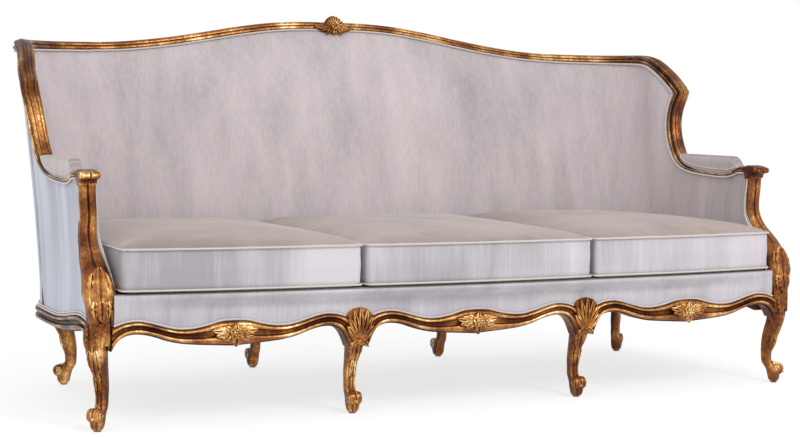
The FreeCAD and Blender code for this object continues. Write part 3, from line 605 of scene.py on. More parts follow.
def wear_and_shade_group():
    """Rubbed leaf with painted light: tone = 0.5 - Hollows hollow + Patches (patch - 0.53) + Flecks (fleck -
    0.5); the hollows term is painted shade in hollows and a painted highlight on rounded edges, while the
    patches and flecks are rubbed spots.
    """
    def wire(g, given):
        hollow = g.add("ShaderNodeAttribute", attribute_name="hollow").outputs["Fac"]
        patch = g.noise((1, 1, 1), 14.0, 4.0)
        fleck = g.noise((1, 1, 1), 120.0, 3.0)
        tone = g.math("MULTIPLY_ADD", hollow, g.math("MULTIPLY", given["Hollows"], -1.0), 0.5)
        patches = g.math("MULTIPLY", given["Patches"], -0.530769)
        tone = g.math("ADD", tone, g.math("MULTIPLY_ADD", patch, given["Patches"], patches))
        flecks = g.math("MULTIPLY", given["Flecks"], -0.5)
        flecks = g.math("MULTIPLY_ADD", fleck, given["Flecks"], flecks)
        return {"Tone": g.math("ADD", tone, flecks, clamp=True), "Fleck": fleck}

    values = dict.fromkeys(("Hollows", "Patches", "Flecks"), "NodeSocketFloat")
    return node_group("wear_and_shade", values, ("Tone", "Fleck"), wire)


def nap_group():
    """Pile: tone = 0.5 + Streaks (nap - 0.5) + 0.3 (hair - 0.5) + Crush (patch - 0.5), and its height."""
    def wire(g, given):
        nap = g.noise((8, 8, 1.0), 1.7, 3.0)
        hair = g.noise((60, 60, 3.0), 2.6, 2.0)
        patch = g.noise((1, 1, 0.6), 3.4, 2.0)
        fine = g.noise((1, 1, 1), 650.0, 2.0)
        streaks = g.math("MULTIPLY_ADD", given["Streaks"], -0.5, 0.5)
        tone = g.math("MULTIPLY_ADD", nap, given["Streaks"], streaks)
        tone = g.math("ADD", tone, g.math("MULTIPLY_ADD", hair, 0.3, -0.15))
        crush = g.math("MULTIPLY", given["Crush"], -0.5)
        crush = g.math("MULTIPLY_ADD", patch, given["Crush"], crush)
        height = g.math("MULTIPLY_ADD", fine, 0.35, nap)
        return {"Tone": g.math("ADD", tone, crush, clamp=True), "Height": height}

    values = dict.fromkeys(("Streaks", "Crush"), "NodeSocketFloat")
    return node_group("nap", values, ("Tone", "Height"), wire)


def grain_group():
    """The grain of plain wood, webbing and sacking."""
    def wire(g, given):
        return {"Grain": g.noise(given["Stretch"], given["Scale"], 4.0)}

    return node_group("grain", {"Stretch": "NodeSocketVector", "Scale": "NodeSocketFloat"}, ("Grain",), wire)


def gilt(name, shaded_sides):
    """Worn gilding with painted light: hollows darkened as painted shade and rounded edges lightened as a
    painted highlight, over rubbed patches and flecks; faces turned outwards, backwards or up get painted
    shade in brown if asked.
    """
    s = Shader(name)
    wear_and_shade = s.place(wear_and_shade_group(), Hollows=0.33, Patches=1.3, Flecks=0.5)
    tone = wear_and_shade["Tone"]
    # The ramp runs from painted shade in the hollows to a painted highlight on the rounded edges.
    colour = s.ramp(tone, (0.0, linear(34, 13, 7)), (0.32, linear(84, 38, 16)),
                    (0.58, linear(140, 84, 38)), (0.8, linear(200, 146, 80)), (1.0, linear(252, 228, 172)))
    rough = s.math("MULTIPLY_ADD", tone, -0.25, 0.52)
    # Painted shade: faces turned outwards, backwards or up are blended towards a dark brown, standing in for
    # the dark surroundings that the gilding reflects; the brightest parts of the tone keep their gold.
    if shaded_sides:
        out = s.math("ABSOLUTE", s.normal_axis(0), 0.0)
        out = s.math("MAXIMUM", out, s.math("MAXIMUM", s.normal_axis(1), s.normal_axis(2)))
        side = s.math("MULTIPLY_ADD", out, 3.2, -1.9, clamp=True)
        shade_kept = s.math("MULTIPLY_ADD", tone, -1.6, 2.1, clamp=True)
        side = s.math("MULTIPLY", side, shade_kept)
        brown = s.ramp(tone, (0.2, linear(26, 11, 10)), (0.6, linear(56, 28, 22)),
                       (0.95, linear(120, 74, 40)))
        colour = s.blend(side, colour, brown)
    s.link(colour, s.main.inputs["Base Color"])
    s.link(rough, s.main.inputs["Roughness"])
    s.main.inputs["Metallic"].default_value = 0.72
    s.bump(wear_and_shade["Fleck"], 0.25, 0.0012)
    return s.material


def shaded(colour, factor):
    """A colour made darker or lighter, up to white."""
    return tuple(min(c * factor, 1.0) for c in colour[:3]) + (1.0,)


def velvet(name, side, top=None, streaks=0.5, crush=0.4):
    """Pile cloth: upright streaks of nap over soft crushed patches; top is the darker colour that cloth
    facing up takes, as painted shade.
    """
    s = Shader(name)
    nap = s.place(nap_group(), Streaks=streaks, Crush=crush)
    tone = nap["Tone"]
    colour = s.ramp(tone, (0.25, shaded(side, 0.72)), (0.5, side), (0.75, shaded(side, 1.25)))
    # Painted shade: cloth that faces up is blended towards the darker top colour.
    if top:
        shaded_top = s.ramp(tone, (0.25, shaded(top, 0.82)), (0.5, top), (0.75, shaded(top, 1.15)))
        facing = s.math("MULTIPLY_ADD", s.normal_axis(2), 2.4, -0.9, clamp=True)
        colour = s.blend(facing, colour, shaded_top)
    s.link(colour, s.main.inputs["Base Color"])
    s.main.inputs["Roughness"].default_value = 0.75
    s.main.inputs["Specular IOR Level"].default_value = 0.25
    s.main.inputs["Sheen Weight"].default_value = 0.5
    s.main.inputs["Sheen Roughness"].default_value = 0.35
    s.bump(nap["Height"], 0.18, 0.002)
    return s.material


def plain(name, colour, rough=0.8, metal=0.0, stretch=(1, 1, 1), scale=60.0):
    """A matt finish with a little grain."""
    s = Shader(name)
    grain = s.place(grain_group(), Stretch=stretch, Scale=scale)["Grain"]
    s.link(s.ramp(grain, (0.3, shaded(colour, 0.7)), (0.7, colour)), s.main.inputs["Base Color"])
    s.main.inputs["Roughness"].default_value = rough
    s.main.inputs["Metallic"].default_value = metal
    s.bump(grain, 0.2, 0.001)
    return s.material


def twisted(name, colour):
    """Cord cloth with slanting strands."""
    s = Shader(name)
    place = s.add("ShaderNodeTexCoord")
    wave = s.add("ShaderNodeTexWave", wave_type="BANDS", bands_direction="DIAGONAL", in_Scale=140.0,
                 in_Distortion=1.5)
    s.link(place.outputs["Object"], wave.inputs["Vector"])
    s.link(s.ramp(wave.outputs[1], (0.1, shaded(colour, 0.6)), (0.6, colour)), s.main.inputs["Base Color"])
    s.main.inputs["Roughness"].default_value = 0.6
    s.main.inputs["Sheen Weight"].default_value = 0.4
    s.bump(wave.outputs[1], 0.5, 0.0008)
    return s.material


MATERIALS = {}


def material(name):
    """One of the finishes, made when it is first asked for."""
    if name not in MATERIALS:
        c = bpy.context.scene.sofa_colours
        # The darker colour that cloth facing up takes, as painted shade.
        top = tuple(c.seat_top_shaded)
        make = {
            "gilt": lambda: gilt("gilt_wood", False),
            # The gilding with painted shade in brown on faces turned outwards, backwards or up.
            "gilt_shaded_side": lambda: gilt("gilt_wood_shaded_sides", True),
            "back": lambda: velvet("back_velvet", tuple(c.back), streaks=0.5, crush=0.5),
            "outside": lambda: velvet("outside_velvet", tuple(c.outside), streaks=1.0, crush=0.4),
            "arm": lambda: velvet("arm_velvet", tuple(c.back), top, streaks=0.4),
            "cushion": lambda: velvet("cushion_velvet", tuple(c.seat_front), top, streaks=0.7, crush=1.5),
            "border": lambda: velvet("border_velvet", tuple(c.border), top, streaks=0.7, crush=0.5),
            "piping": lambda: twisted("piping", tuple(c.piping)),
            "beech": lambda: plain("beech", linear(186, 146, 104), 0.6, stretch=(1, 1, 12), scale=9.0),
            "webbing": lambda: plain("webbing", linear(150, 112, 76), 0.9, scale=300.0),
            "hessian": lambda: plain("hessian", linear(168, 142, 104), 0.95, scale=400.0),
            "dust_cover": lambda: plain("dust_cover", linear(70, 62, 58), 0.95, scale=300.0),
            "glides": lambda: plain("glides", linear(120, 116, 110), 0.4, 1.0),
        }
        MATERIALS[name] = make[name]()
    return MATERIALS[name]


def colour_property(name, description, default):
    """A cloth colour that can be picked."""
    return bpy.props.FloatVectorProperty(name=name, description=description, size=4, default=default, min=0,
                                         max=1, subtype="COLOR")


class SofaSizes(bpy.types.PropertyGroup):
    """Sizes of the soft pieces."""
    crown: bpy.props.FloatProperty(
        name="Cushion crown", description="How far a cushion's top rises over its seam",
        default=0.036, min=0.0, max=0.05, unit="LENGTH")
    seam_dip: bpy.props.FloatProperty(
        name="Seam dip", description="How far the boxing draws in between its seams",
        default=0.004, min=0.0, max=0.01, unit="LENGTH")
    piping: bpy.props.FloatProperty(
        name="Piping radius", description="Half the thickness of the piping",
        default=0.0024, min=0.001, max=0.005, unit="LENGTH")
    pad_level: bpy.props.FloatProperty(
        name="Arm pad level", description="Height of the arm pads over the floor",
        default=0.647, min=0.63, max=0.66, unit="LENGTH")


class SofaColours(bpy.types.PropertyGroup):
    """Colours of the cloth."""
    back: colour_property("Back velvet", "Cloth of the back and insides", linear(178, 168, 170))
    outside: colour_property("Outside velvet", "Cloth of the outside covers", linear(170, 173, 186))
    # The seat velvet where it faces up, darker than where it stands upright, as painted shade.
    seat_top_shaded: colour_property("Seat velvet, lying", "Cushion cloth seen from above", linear(144, 128, 121))
    seat_front: colour_property("Seat velvet, upright", "Cushion cloth on the boxing", linear(174, 169, 174))
    border: colour_property("Border velvet", "Cloth of the border under the seat", linear(178, 174, 180))
    piping: colour_property("Piping", "Cloth of the piping", linear(204, 194, 188))


# Show-wood

def build_cap():
    """One moulding swept along the crest, round the ears, through the mitre and down to the posts."""
    section = cap_section()
    crest = Form().rings(sweep(crest_line(np.linspace(-CORNER_X, CORNER_X, 300)), section))
    crest.make("crest", material("gilt"), nodes=["crest_rail"])
    ear = sweep(ear_line(), section)
    wing = wing_line()
    rings = sweep(wing, section, wing[3] / CAP_HEIGHT)
    cut = int(np.searchsorted(wing[4], 1.0))
    for side, mirror in SIDES:
        for name, node, part in (("ear_", "crest_corner_", ear), ("wing_", "wing_rail_", rings[:cut + 1]),
                                 ("arm_", "arm_rail_", rings[cut:])):
            form = Form().rings(part, mirror=mirror)
            form.make(name + side, material("gilt_shaded_side"), nodes=[node + side])


# Height of a station, how far back it is, its inner edge, its width and its reach forward
POST = [(588, 112, 976, 41, 14), (560, 112, 975.5, 40.5, 14), (507, 113, 973, 39.5, 14),
        (476, 108, 975, 41, 14), (450, 91, 977, 43, 15), (430, 67, 977, 47, 16),
        (408, 44, 975, 54, 18), (380, 18, 970, 61, 20), (352, 0, 964, 70, 20),
        (332, -8, 962, 74, 20), (309, -11, 967, 64, 19), (285, -12, 973, 54, 18),
        (262, -12, 975, 50, 18)]
# The scroll head's outline, in depth and height
SCROLL = [(134, 584), (136, 606), (134, 621), (118, 624), (100, 623.5), (84, 621), (71, 616.5), (66, 610),
          (70, 603.5), (79, 601), (89, 599), (96, 593), (98, 586), (112, 583)]

# Root, tip, width and curl of the leaves at a post's swelling
POST_LEAVES = [((1000, -12, 398), (1000, -29, 292), 40, 0), ((986, -8, 384), (972, -22, 306), 24, 4),
               ((1014, -8, 384), (1028, -22, 306), 24, -4), ((999, -30, 318), (999, -31, 266), 34, 0),
               ((984, -24, 322), (980, -27, 272), 19, 3), ((1014, -24, 322), (1018, -27, 272), 19, -3)]


def build_posts():
    """Arm posts: two reeds with a groove between, a scroll head and carved leaves at the swelling."""
    rows = np.array(POST)[::-1]
    z = np.linspace(262, 588, 150)
    y, x, width, reach = (profile(rows[:, [0, k]], z) for k in (1, 2, 3, 4))
    reed = [(0.04, 1.1), (0, 0), (-0.02, -0.2), (0.0, -0.5), (0.08, -0.78), (0.18, -0.97), (0.29, -1.03),
            (0.39, -0.95), (0.46, -0.74), (0.5, -0.62), (0.54, -0.74), (0.61, -0.95), (0.71, -1.03),
            (0.82, -0.97), (0.92, -0.78), (1.0, -0.5), (1.02, -0.2), (1, 0), (0.96, 1.1), (0.5, 1.3)]
    outline = curve(reed, 72, closed=True)
    rings = np.stack(np.broadcast_arrays(x[:, None] + outline[:, 0] * width[:, None],
                                         y[:, None] + outline[:, 1] * reach[:, None], z[:, None]), -1)
    scroll = curve(SCROLL, 70, closed=True)
    middle = scroll.mean(0)
    share = np.linspace(0, 1, 40)
    size = 1 - 0.2 * np.abs(2 * share - 1) ** 7 - 0.10 * np.exp(-((share - 0.5) / 0.05) ** 2)
    head = middle + (scroll - middle) * size[:, None, None]
    head_x = np.broadcast_to((974.5 + 45 * share)[:, None, None], head.shape[:2] + (1,))
    head = np.concatenate([head_x, head], -1)
    for side, mirror in SIDES:
        form = Form().rings(rings, mirror=mirror).rings(head, mirror=mirror)
        form.rings(box_rings(979, 1021, -12, 27, 262, 294.7), mirror=mirror)
        for root, tip, wide, curl in POST_LEAVES:
            form.rings(leaf(root, tip, (0, -1, 0.1), wide, 6.0, 4.0, 0.14, curl, 34), mirror=mirror)
        crown = leaf((POST_X, 66, 424), (POST_X, -2, 372), (0, -0.55, 0.75), 30, 5.0, 3.0, 0.14, 0, 30)
        form.rings(crown, mirror=mirror)
        for eye in (973.5, 1020.5):
            out = (1 if eye > POST_X else -1, 0, 0)
            form.rings(ball((eye, 80, 611), 7.5, 0.5, out), mirror=mirror)
            form.rings(ball((eye, 80, 611), 3.4, 1.4, out), mirror=mirror)
        form.make("post_" + side, material("gilt"), nodes=["arm_post_" + side])


# Height of a station, how far the S is ahead of the foot, depth and width
LEG = [(4, 0, 21, 22), (10, 0, 29, 29), (24, -1, 34, 34), (40, -7, 32, 32), (58, -20, 29, 29),
       (81, -23, 29, 28), (103, -21, 34, 31), (123, -19, 36, 31), (152, -10.6, 43, 36), (180, -1.5, 47, 44),
       (200, 2, 51, 47)]
# Height and sideways place of root and tip, width and curl of the leaves on a knee
KNEE_LEAVES = [(196, 112, 0, 0, 22, 0), (200, 140, -9, -14, 17, 5), (200, 140, 9, 14, 17, -5),
               (150, 92, -4, -8, 11, 2), (150, 92, 4, 8, 11, -2)]


def box_rings(x0, x1, y0, y1, z0, z1):
    """The two rings of an upright block."""
    return np.array([[[x0, y0, h], [x1, y0, h], [x1, y1, h], [x0, y1, h]] for h in (z0, z1)], float)


def leg_form(form, foot, facing, top_shift, mirror, tall=False):
    """A cabriole leg: an S in profile over a scroll toe, a ridge down its front and leaves on its knee."""
    ahead = np.array([math.cos(math.radians(facing)), math.sin(math.radians(facing)), 0])
    aside = np.array([-ahead[1], ahead[0], 0])
    centre = np.array([foot[0], foot[1], 0.0])
    rows = np.array(LEG + ([(230, 3, 52, 49), (262, 1, 49, 49)] if tall else []))
    z = np.linspace(4, rows[-1, 0], 120)
    shift, depth, width = (profile(rows[:, [0, k]], z) for k in (1, 2, 3))
    shift = shift + top_shift * ease(z, 60, 200)
    half = [(0.93, 0.14), (0.88, 0.34), (0.90, 0.56), (0.86, 0.78), (0.66, 0.95), (0.35, 1.0), (-0.3, 0.97),
            (-0.75, 0.8), (-1, 0.35)]
    outline = curve([(1.02, 0)] + half + [(a, -b) for a, b in reversed(half)], 64, closed=True)
    middle = centre + ahead * shift[:, None] + np.array([0, 0, 1.0]) * z[:, None]
    rings = (middle[:, None] + ahead * (outline[:, :1] * (depth[:, None, None] / 2))
             + aside * (outline[:, 1:] * (width[:, None, None] / 2)))
    form.rings(rings, mirror=mirror)
    turns = np.linspace(0, 2 * math.pi, 48, endpoint=False)
    share = np.linspace(-1, 1, 26)
    size = 17.0 * (1 - 0.12 * np.abs(share) ** 6) - 1.6 * np.exp(-(share / 0.16) ** 2)
    hub = centre + ahead * 10 + np.array([0, 0, 40.0])
    wheel = (hub + aside * (share * 16.5)[:, None, None] + (ahead * np.cos(turns)[:, None]
             + np.array([0, 0, 1.0]) * np.sin(turns)[:, None]) * size[:, None, None])
    form.rings(wheel, mirror=mirror)
    for side in (-1, 1):
        eye = hub + aside * side * 16
        form.rings(ball(eye, 11, 0.35, aside * side), mirror=mirror)
        form.rings(ball(eye, 5, 0.95, aside * side), mirror=mirror)

    def on_front(z_at, across, out):
        reach = np.interp(z_at, z, shift + depth / 2)
        return centre + ahead * (reach + out) + aside * across + np.array([0, 0, z_at])

    up_tilt = ahead + np.array([0, 0, 0.25])
    for z0, z1, x0, x1, wide, curl in KNEE_LEAVES:
        root, tip = on_front(z0, x0, -2), on_front(z1, x1, -3.5)
        form.rings(leaf(root, tip, up_tilt, wide, 4.2, 3.2, 0.22, curl, 30), mirror=mirror)
    form.rings(leaf(on_front(62, 0, 1), on_front(28, 0, 12), ahead, 20, 3.5, 3.0, 0.1), mirror=mirror)


def fan(form, mirror):
    """A shell of ribs that spread upwards over the head of a leg."""
    for angle, length in ((-44, 62), (-30, 76), (-15, 87), (0, 91), (15, 87), (30, 76), (44, 62)):
        a = math.radians(angle)
        root = np.array([LEG_X + 6 * math.sin(a), -40, 188])
        tip = root + np.array([math.sin(a) * length * 0.78, -3.0, math.cos(a) * length])
        form.rings(leaf(root, tip, (0, -1, 0.05), 21, 8.0, 5.5), mirror=mirror)
    for side in (-1, 1):
        root, tip = (LEG_X + side * 4, -44, 196), (LEG_X + side * 27, -40, 178)
        form.rings(leaf(root, tip, (0, -1, 0), 13, 5, 3, 0, side * -4), mirror=mirror)
        form.rings(ball((LEG_X + side * 20, -43, 186), 5.5, 0.8), mirror=mirror)
    form.rings(ball((LEG_X, -47, 190), 8, 0.8), mirror=mirror)
    half = [(14, 274), (27, 268), (34, 256), (31, 240), (22, 215), (14, 192)]
    outline = [(0, 184)] + [(-x, z) for x, z in reversed(half)] + [(0, 276)] + half
    outline = curve(outline, 60, closed=True)
    plate = [np.stack([LEG_X + outline[:, 0] * s, np.full(60, y), 232 + (outline[:, 1] - 232) * s], 1)
             for y, s in ((-34, 1.0), (-40, 1.0), (-43, 0.96))]
    form.rings(np.array(plate), mirror=mirror)


def front_corner_leg(mirror):
    """A leg that turns outwards under the post, with a leaf on either face of its block."""
    form = Form()
    leg_form(form, (POST_X, 0), -45, 0, mirror, tall=True)
    form.rings(box_rings(976, 1024, -24, 27, 208, 262), mirror=mirror)
    for normal in ((0, -1, 0), (1, 0, 0)):
        n = np.array(normal, float)
        base = np.array([POST_X, 2, 0.0]) + n * 25
        form.rings(leaf(base + [0, 0, 258], base + [0, 0, 200] + n, n, 30, 4.5, 4.0, 0.25), mirror=mirror)
    return form


def front_middle_leg(mirror):
    """A leg that faces forward under a shell, its block narrower over the cloth line."""
    form = Form()
    leg_form(form, (LEG_X, 0), -90, 6, mirror)
    block = [box_rings(311, 357, -37, 19, 199, 252), box_rings(320, 348, -33, 19, 268, 276)]
    form.rings(np.concatenate(block), mirror=mirror)
    fan(form, mirror)
    return form


def rear_corner_leg(mirror):
    """A leg that turns outwards to the rear, with its block and the stile that it carries."""
    form = Form()
    leg_form(form, (906, 692), 45, 4, mirror)
    turned = corner_sections(np.array([45.0]))
    across = np.array([-math.sin(math.radians(45)), math.cos(math.radians(45)), 0])
    for half, inner, outer, low, high in ((24, -14, 33, 197, 294), (18, 11, 26, 296, 900)):
        rings = []
        for height in (low, high):
            t = (height - WALL_LOW) / (turned[1][0, 2] - WALL_LOW)
            spot = turned[0][0] + (turned[1][0] - turned[0][0]) * max(t, 0)
            spot[2] = height
            rings.append([spot + turned[2][0] * a + across * b for a, b in
                          ((inner, -half), (outer, -half), (outer, half), (inner, half))])
        form.rings(np.array(rings), mirror=mirror)
    return form


def rear_middle_leg(mirror):
    """A leg that faces straight back, with its block and a stile that leans with the back."""
    form = Form()
    leg_form(form, (310, 791), 90, -27, mirror)
    form.rings(box_rings(286, 334, 737, 785, 198, 294), mirror=mirror)
    stile = []
    for h in (296.0, 980.0):
        near, far = lean_y(h) + 10.5, lean_y(h) + 30
        stile.append([[288, near, h], [332, near, h], [332, far, h], [288, far, h]])
    return form.rings(np.array(stile), mirror=mirror)


def build_legs():
    """The four kinds of cabriole leg on both sides."""
    for side, mirror in SIDES:
        for leg, name, finish, node in ((front_corner_leg, "front_corner_", "gilt", "front_corner_leg_"),
                                        (front_middle_leg, "front_middle_", "gilt", "front_mid_leg_"),
                                        (rear_corner_leg, "rear_corner_", "gilt_shaded_side", "rear_corner_leg_"),
                                        (rear_middle_leg, "rear_middle_", "gilt_shaded_side", "rear_mid_leg_")):
            leg(mirror).make(name + side, material(finish), nodes=[node + side])


# The rail's face: how proud it stands, in units of 10 mm, at a share of its height from the top
RAIL = [(0.0, 0.0), (0.5, 0.03), (1.05, 0.10), (1.2, 0.18), (1.0, 0.27), (0.5, 0.32), (0.28, 0.40),
        (0.15, 0.5), (0.22, 0.6), (0.5, 0.66), (1.0, 0.70), (1.2, 0.80), (1.05, 0.91), (0.5, 1.0)]


def rail_rings(inner, out, top, low, depth):
    """The rail's section: a bead, a hollow and a bead between the cloth line and the lower edge."""
    line = curve([(a, -b) for a, b in RAIL], 40)
    band = (top - low)[:, None]
    count = len(top)

    def full(v):
        return np.full((count, 1), float(v))

    a = np.concatenate([full(0), full(depth - 3.4), full(depth - 3.4), full(depth - 0.5)]
                       + [depth + 10.0 * np.broadcast_to(line[:, 0], (count, 40))]
                       + [full(depth - 2), full(depth - 2), full(0)], 1)
    b = np.concatenate([full(294), full(294), top[:, None], top[:, None]]
                       + [top[:, None] + band * line[:, 1]]
                       + [low[:, None], low[:, None] - 4, low[:, None] - 4], 1)
    return inner[:, None] + out[:, None] * a[..., None] + np.array([0, 0, 1.0]) * b[..., None]


def build_rails():
    """Front, side and rear rails; the front ones bend down beside each leg by 42 exp(-(gap / 15)^1.15)."""
    def front(x):
        inner = np.stack([x, front_face(x) + 40.0, 0 * x], 1)
        out = np.tile([0.0, -1.0, 0.0], (len(x), 1))
        gap = np.minimum(np.abs(np.abs(x) - LEG_X) - RAIL_GAP, POST_X - RAIL_GAP - np.abs(x))
        bracket = np.where(np.abs(x) < 650, 42, 27) * np.exp(-(np.maximum(gap, 0) / 15) ** 1.15)
        return rail_rings(inner, out, front_top(x), front_low(x) - bracket, 40.0)

    def wall(run):
        inner, out = wall_plan(run, -16.0)
        return rail_rings(inner, out, side_top(run), side_low(run), 16.0 + COVER + 0.6)

    end = LEG_X - RAIL_GAP
    middle = Form().rings(front(np.linspace(-end, end, 220)))
    middle.make("front_middle_rail", material("gilt"), nodes=["front_rail_center"])
    outer = front(np.linspace(LEG_X + RAIL_GAP, 973, 220))
    corner_run = CORNER_Y + CORNER_R * math.pi / 4
    mid_run = TURN_END + CORNER_X - 310
    side_rings = wall(np.linspace(27.5, corner_run - 24.5, 260))
    for side, mirror in SIDES:
        for where, part, finish in (("front_rail_", outer, "gilt"), ("side_rail_", side_rings, "gilt_shaded_side")):
            form = Form().rings(part, mirror=mirror)
            form.make(where + "piece_" + side, material(finish), nodes=[where + side])
    rear = Form().pair(wall(np.linspace(corner_run + 24.5, mid_run - 24.5, 120)))
    rear.rings(wall(np.linspace(mid_run + 24.5, mid_run + 595.5, 60)))
    rear.make("back_rail_pieces", material("gilt_shaded_side"), nodes=["rear_rails"])


# Reach, height, width and curl of the leaves beside a rail's flower and beside the crest's shell
RAIL_LEAVES = [(60, 4, 23, 3), (47, 15, 21, -3), (49, -11, 21, 4), (32, -20, 22, 2), (29, 19, 20, -2)]
CREST_LEAVES = [(66, 2, 25, 5), (53, 14, 24, -4), (42, -10, 20, 6), (22, -19, 18, 3)]


def build_flowers():
    """A rosette between sprays of leaves at the middle of each front rail."""
    form = Form()
    for x, copies in ((0.0, (False,)), (FLOWER_X, (False, True))):
        face = float(front_face(x))
        for mirror in copies:
            rosette(form, (x, face - 15, FLOWER_Z), 19, mirror=mirror)
            for side in (-1, 1):
                for dx, dz, wide, curl in RAIL_LEAVES:
                    root, tip = (x + side * 9, face - 12, FLOWER_Z), (x + side * dx, face - 10, FLOWER_Z + dz)
                    spray = leaf(root, tip, (0, -1, 0), wide, 6.5, 5.0, 0.12, side * curl, 34)
                    form.rings(spray, mirror=mirror)
                rosette(form, (x + side * 26, face - 15, FLOWER_Z - 3), 9, mirror=mirror)
            for dz, wide in ((-36, 27), (25, 22)):
                root, tip = (x, face - 13, FLOWER_Z), (x, face - 12, FLOWER_Z + dz)
                form.rings(leaf(root, tip, (0, -1, 0), wide, 6.5, 5.0, 0.1), mirror=mirror)
            plate = curve([(-44, 3), (-26, 14), (-10, 20), (10, 20), (26, 14), (44, 3), (28, -14), (12, -28),
                           (-12, -28), (-28, -14)], 60, closed=True)
            rows = [np.stack([x + plate[:, 0] * s, np.full(60, face + y), FLOWER_Z + plate[:, 1] * s], 1)
                    for y, s in ((0, 1.0), (-9, 1.0), (-13, 0.9), (-14, 0.5))]
            form.rings(np.array(rows), mirror=mirror)
    form.make("rail_carving", material("gilt"), nodes=["rail_flowers"])


def build_cartouche():
    """The shell at the crest's middle: nine ribs over a rosette, with leaves to either side."""
    form = Form()
    lean = math.atan(LEAN)
    up = np.array([0, math.sin(lean), math.cos(lean)])
    out = np.array([0, -math.cos(lean), math.sin(lean)])
    base = np.array([0, lean_y(crest_z(0.0)), crest_z(0.0)]) + out * 6

    def at(x, z, proud):
        return base + np.array([x, 0, 0]) + up * z + out * proud

    for degrees, length in ((-80, 38), (-57, 36), (-36, 36), (-17, 37), (0, 38), (17, 37), (36, 36), (57, 36),
                            (80, 38)):
        a = math.radians(degrees)
        tip = at(math.sin(a) * length, 4 + math.cos(a) * length, 2)
        form.rings(leaf(at(0, 4, 0.0), tip, out, 19, 7.0, 5.5))
    rosette(form, at(0, 8, 8), 15, out)
    for side in (-1, 1):
        for dx, dz, wide, curl in CREST_LEAVES:
            root, tip = at(side * 12, 5, 2), at(side * dx, dz, 1)
            form.rings(leaf(root, tip, out, wide, 7.0, 5.0, 0.12, side * curl, 34))
        form.rings(ball(at(side * 30, 4, 6), 6, 0.9, out))
        form.rings(ball(at(side * 47, 2, 4), 4.2, 0.9, out))
    form.rings(leaf(at(0, 2, 3), at(0, -20, 1), out, 18, 5.5, 4.5, 0.2))
    plate = curve([(-60, 0), (-34, 16), (-20, 34), (0, 42), (20, 34), (34, 16), (60, 0), (30, -10), (0, -15),
                   (-30, -10)], 60, closed=True)
    rows = [[at(p[0] * s, p[1] * s, d) for p in plate] for d, s in ((-3, 1.0), (2, 1.0), (4, 0.9))]
    form.rings(np.array(rows))
    form.make("crest_carving", material("gilt"), nodes=["crest_cartouche"])


# Upholstery

# Depth and height along the side wall's cloth line, each with its point on the wall's foot or rear end
INNER_EDGE = [((-9, 300), (-7, 296)), ((-8, 332), (-3, 296)), ((2, 354), (4, 296)), ((20, 382), (20, 296)),
              ((46, 410), (46, 296)), ((69, 432), (69, 296)), ((93, 453), (91, 296)),
              ((110, 478), (102, 296)), ((115, 508), (108, 296)), ((115, 560), (116, 296)),
              ((122, 600), (126, 296)), ((165, 602), (165, 296)), ((190, 594), (190, 296)),
              ((260, 587), (260, 296)), ((330, 589), (330, 296)), ((400, 594), (400, 296)),
              ((452, 604), (448, 296)), ((491, 622), (496, 296)), ((522, 652), (534, 296)),
              ((545, 687), (562, 330)), ((559, 727), (580, 440)), ((566, 768), (610, 560)),
              ((564, 803), (630, 680)), ((560, 834), (650, 760)), ((586, 857), (662, 820)),
              ((618, 884), (672, 868)), ((650, 907), (680, 904)), ((684, 927), (685, 926))]


def side_wall(inside, outside, low=None):
    """Rings of a side wall between its cloth line and its foot, from the post round to the rear corner."""
    pairs = np.array([(*a, *b) for a, b in INNER_EDGE], float)
    rows = curve(pairs, 200)
    edge, foot = rows[:, :2], rows[:, 2:]
    rear = foot[:, 1] > 297

    def rear_end(z):
        return mix(CORNER_Y, EAR_Y, (z - WALL_LOW) / (EAR_Z - WALL_LOW))

    foot[rear, 0] = rear_end(foot[rear, 1])
    if low is not None:
        foot[~rear, 1] = low(foot[~rear, 0])
    foot[:, 0] = np.minimum(foot[:, 0], rear_end(np.maximum(foot[:, 1], WALL_LOW)))
    t = np.linspace(0, 1, 48)[None, :, None]
    plane = mix(edge[:, None], foot[:, None], t)
    near = side_at(plane[..., 0], plane[..., 1], inside)
    far = side_at(plane[..., 0], plane[..., 1], outside)
    return np.concatenate([near, far[:, ::-1]], 1)


def pad_sections(sections):
    """The pad's rings: full in the middle inside, nearly flat behind."""
    t = np.linspace(0, 1, 60)
    inner = wall_points(sections, t, 0.0, sections[3])
    outer = wall_points(sections, t, PAD, sections[4])
    return np.concatenate([inner, outer[:, ::-1]], 1)


def cover_sections(sections, run):
    """The outside cloth's rings, with a skirt that hangs over the rail to its cloth line."""
    t = np.linspace(0, 1, 50)
    bulge = np.maximum(mix(2.0, sections[4], 0.8), 2.0)
    skins = []
    for offset in (COVER - CLOTH, COVER):
        wall = wall_points(sections, t, offset, bulge)
        low = sections[0] + sections[2] * offset
        low[:, 2] = side_top(run) + 0.6
        skirt = mix(low[:, None], wall[:, :1], np.linspace(0, 1, 8)[None, :-1, None])
        skins.append(np.concatenate([skirt, wall], 1))
    return np.concatenate([skins[0], skins[1][:, ::-1]], 1)


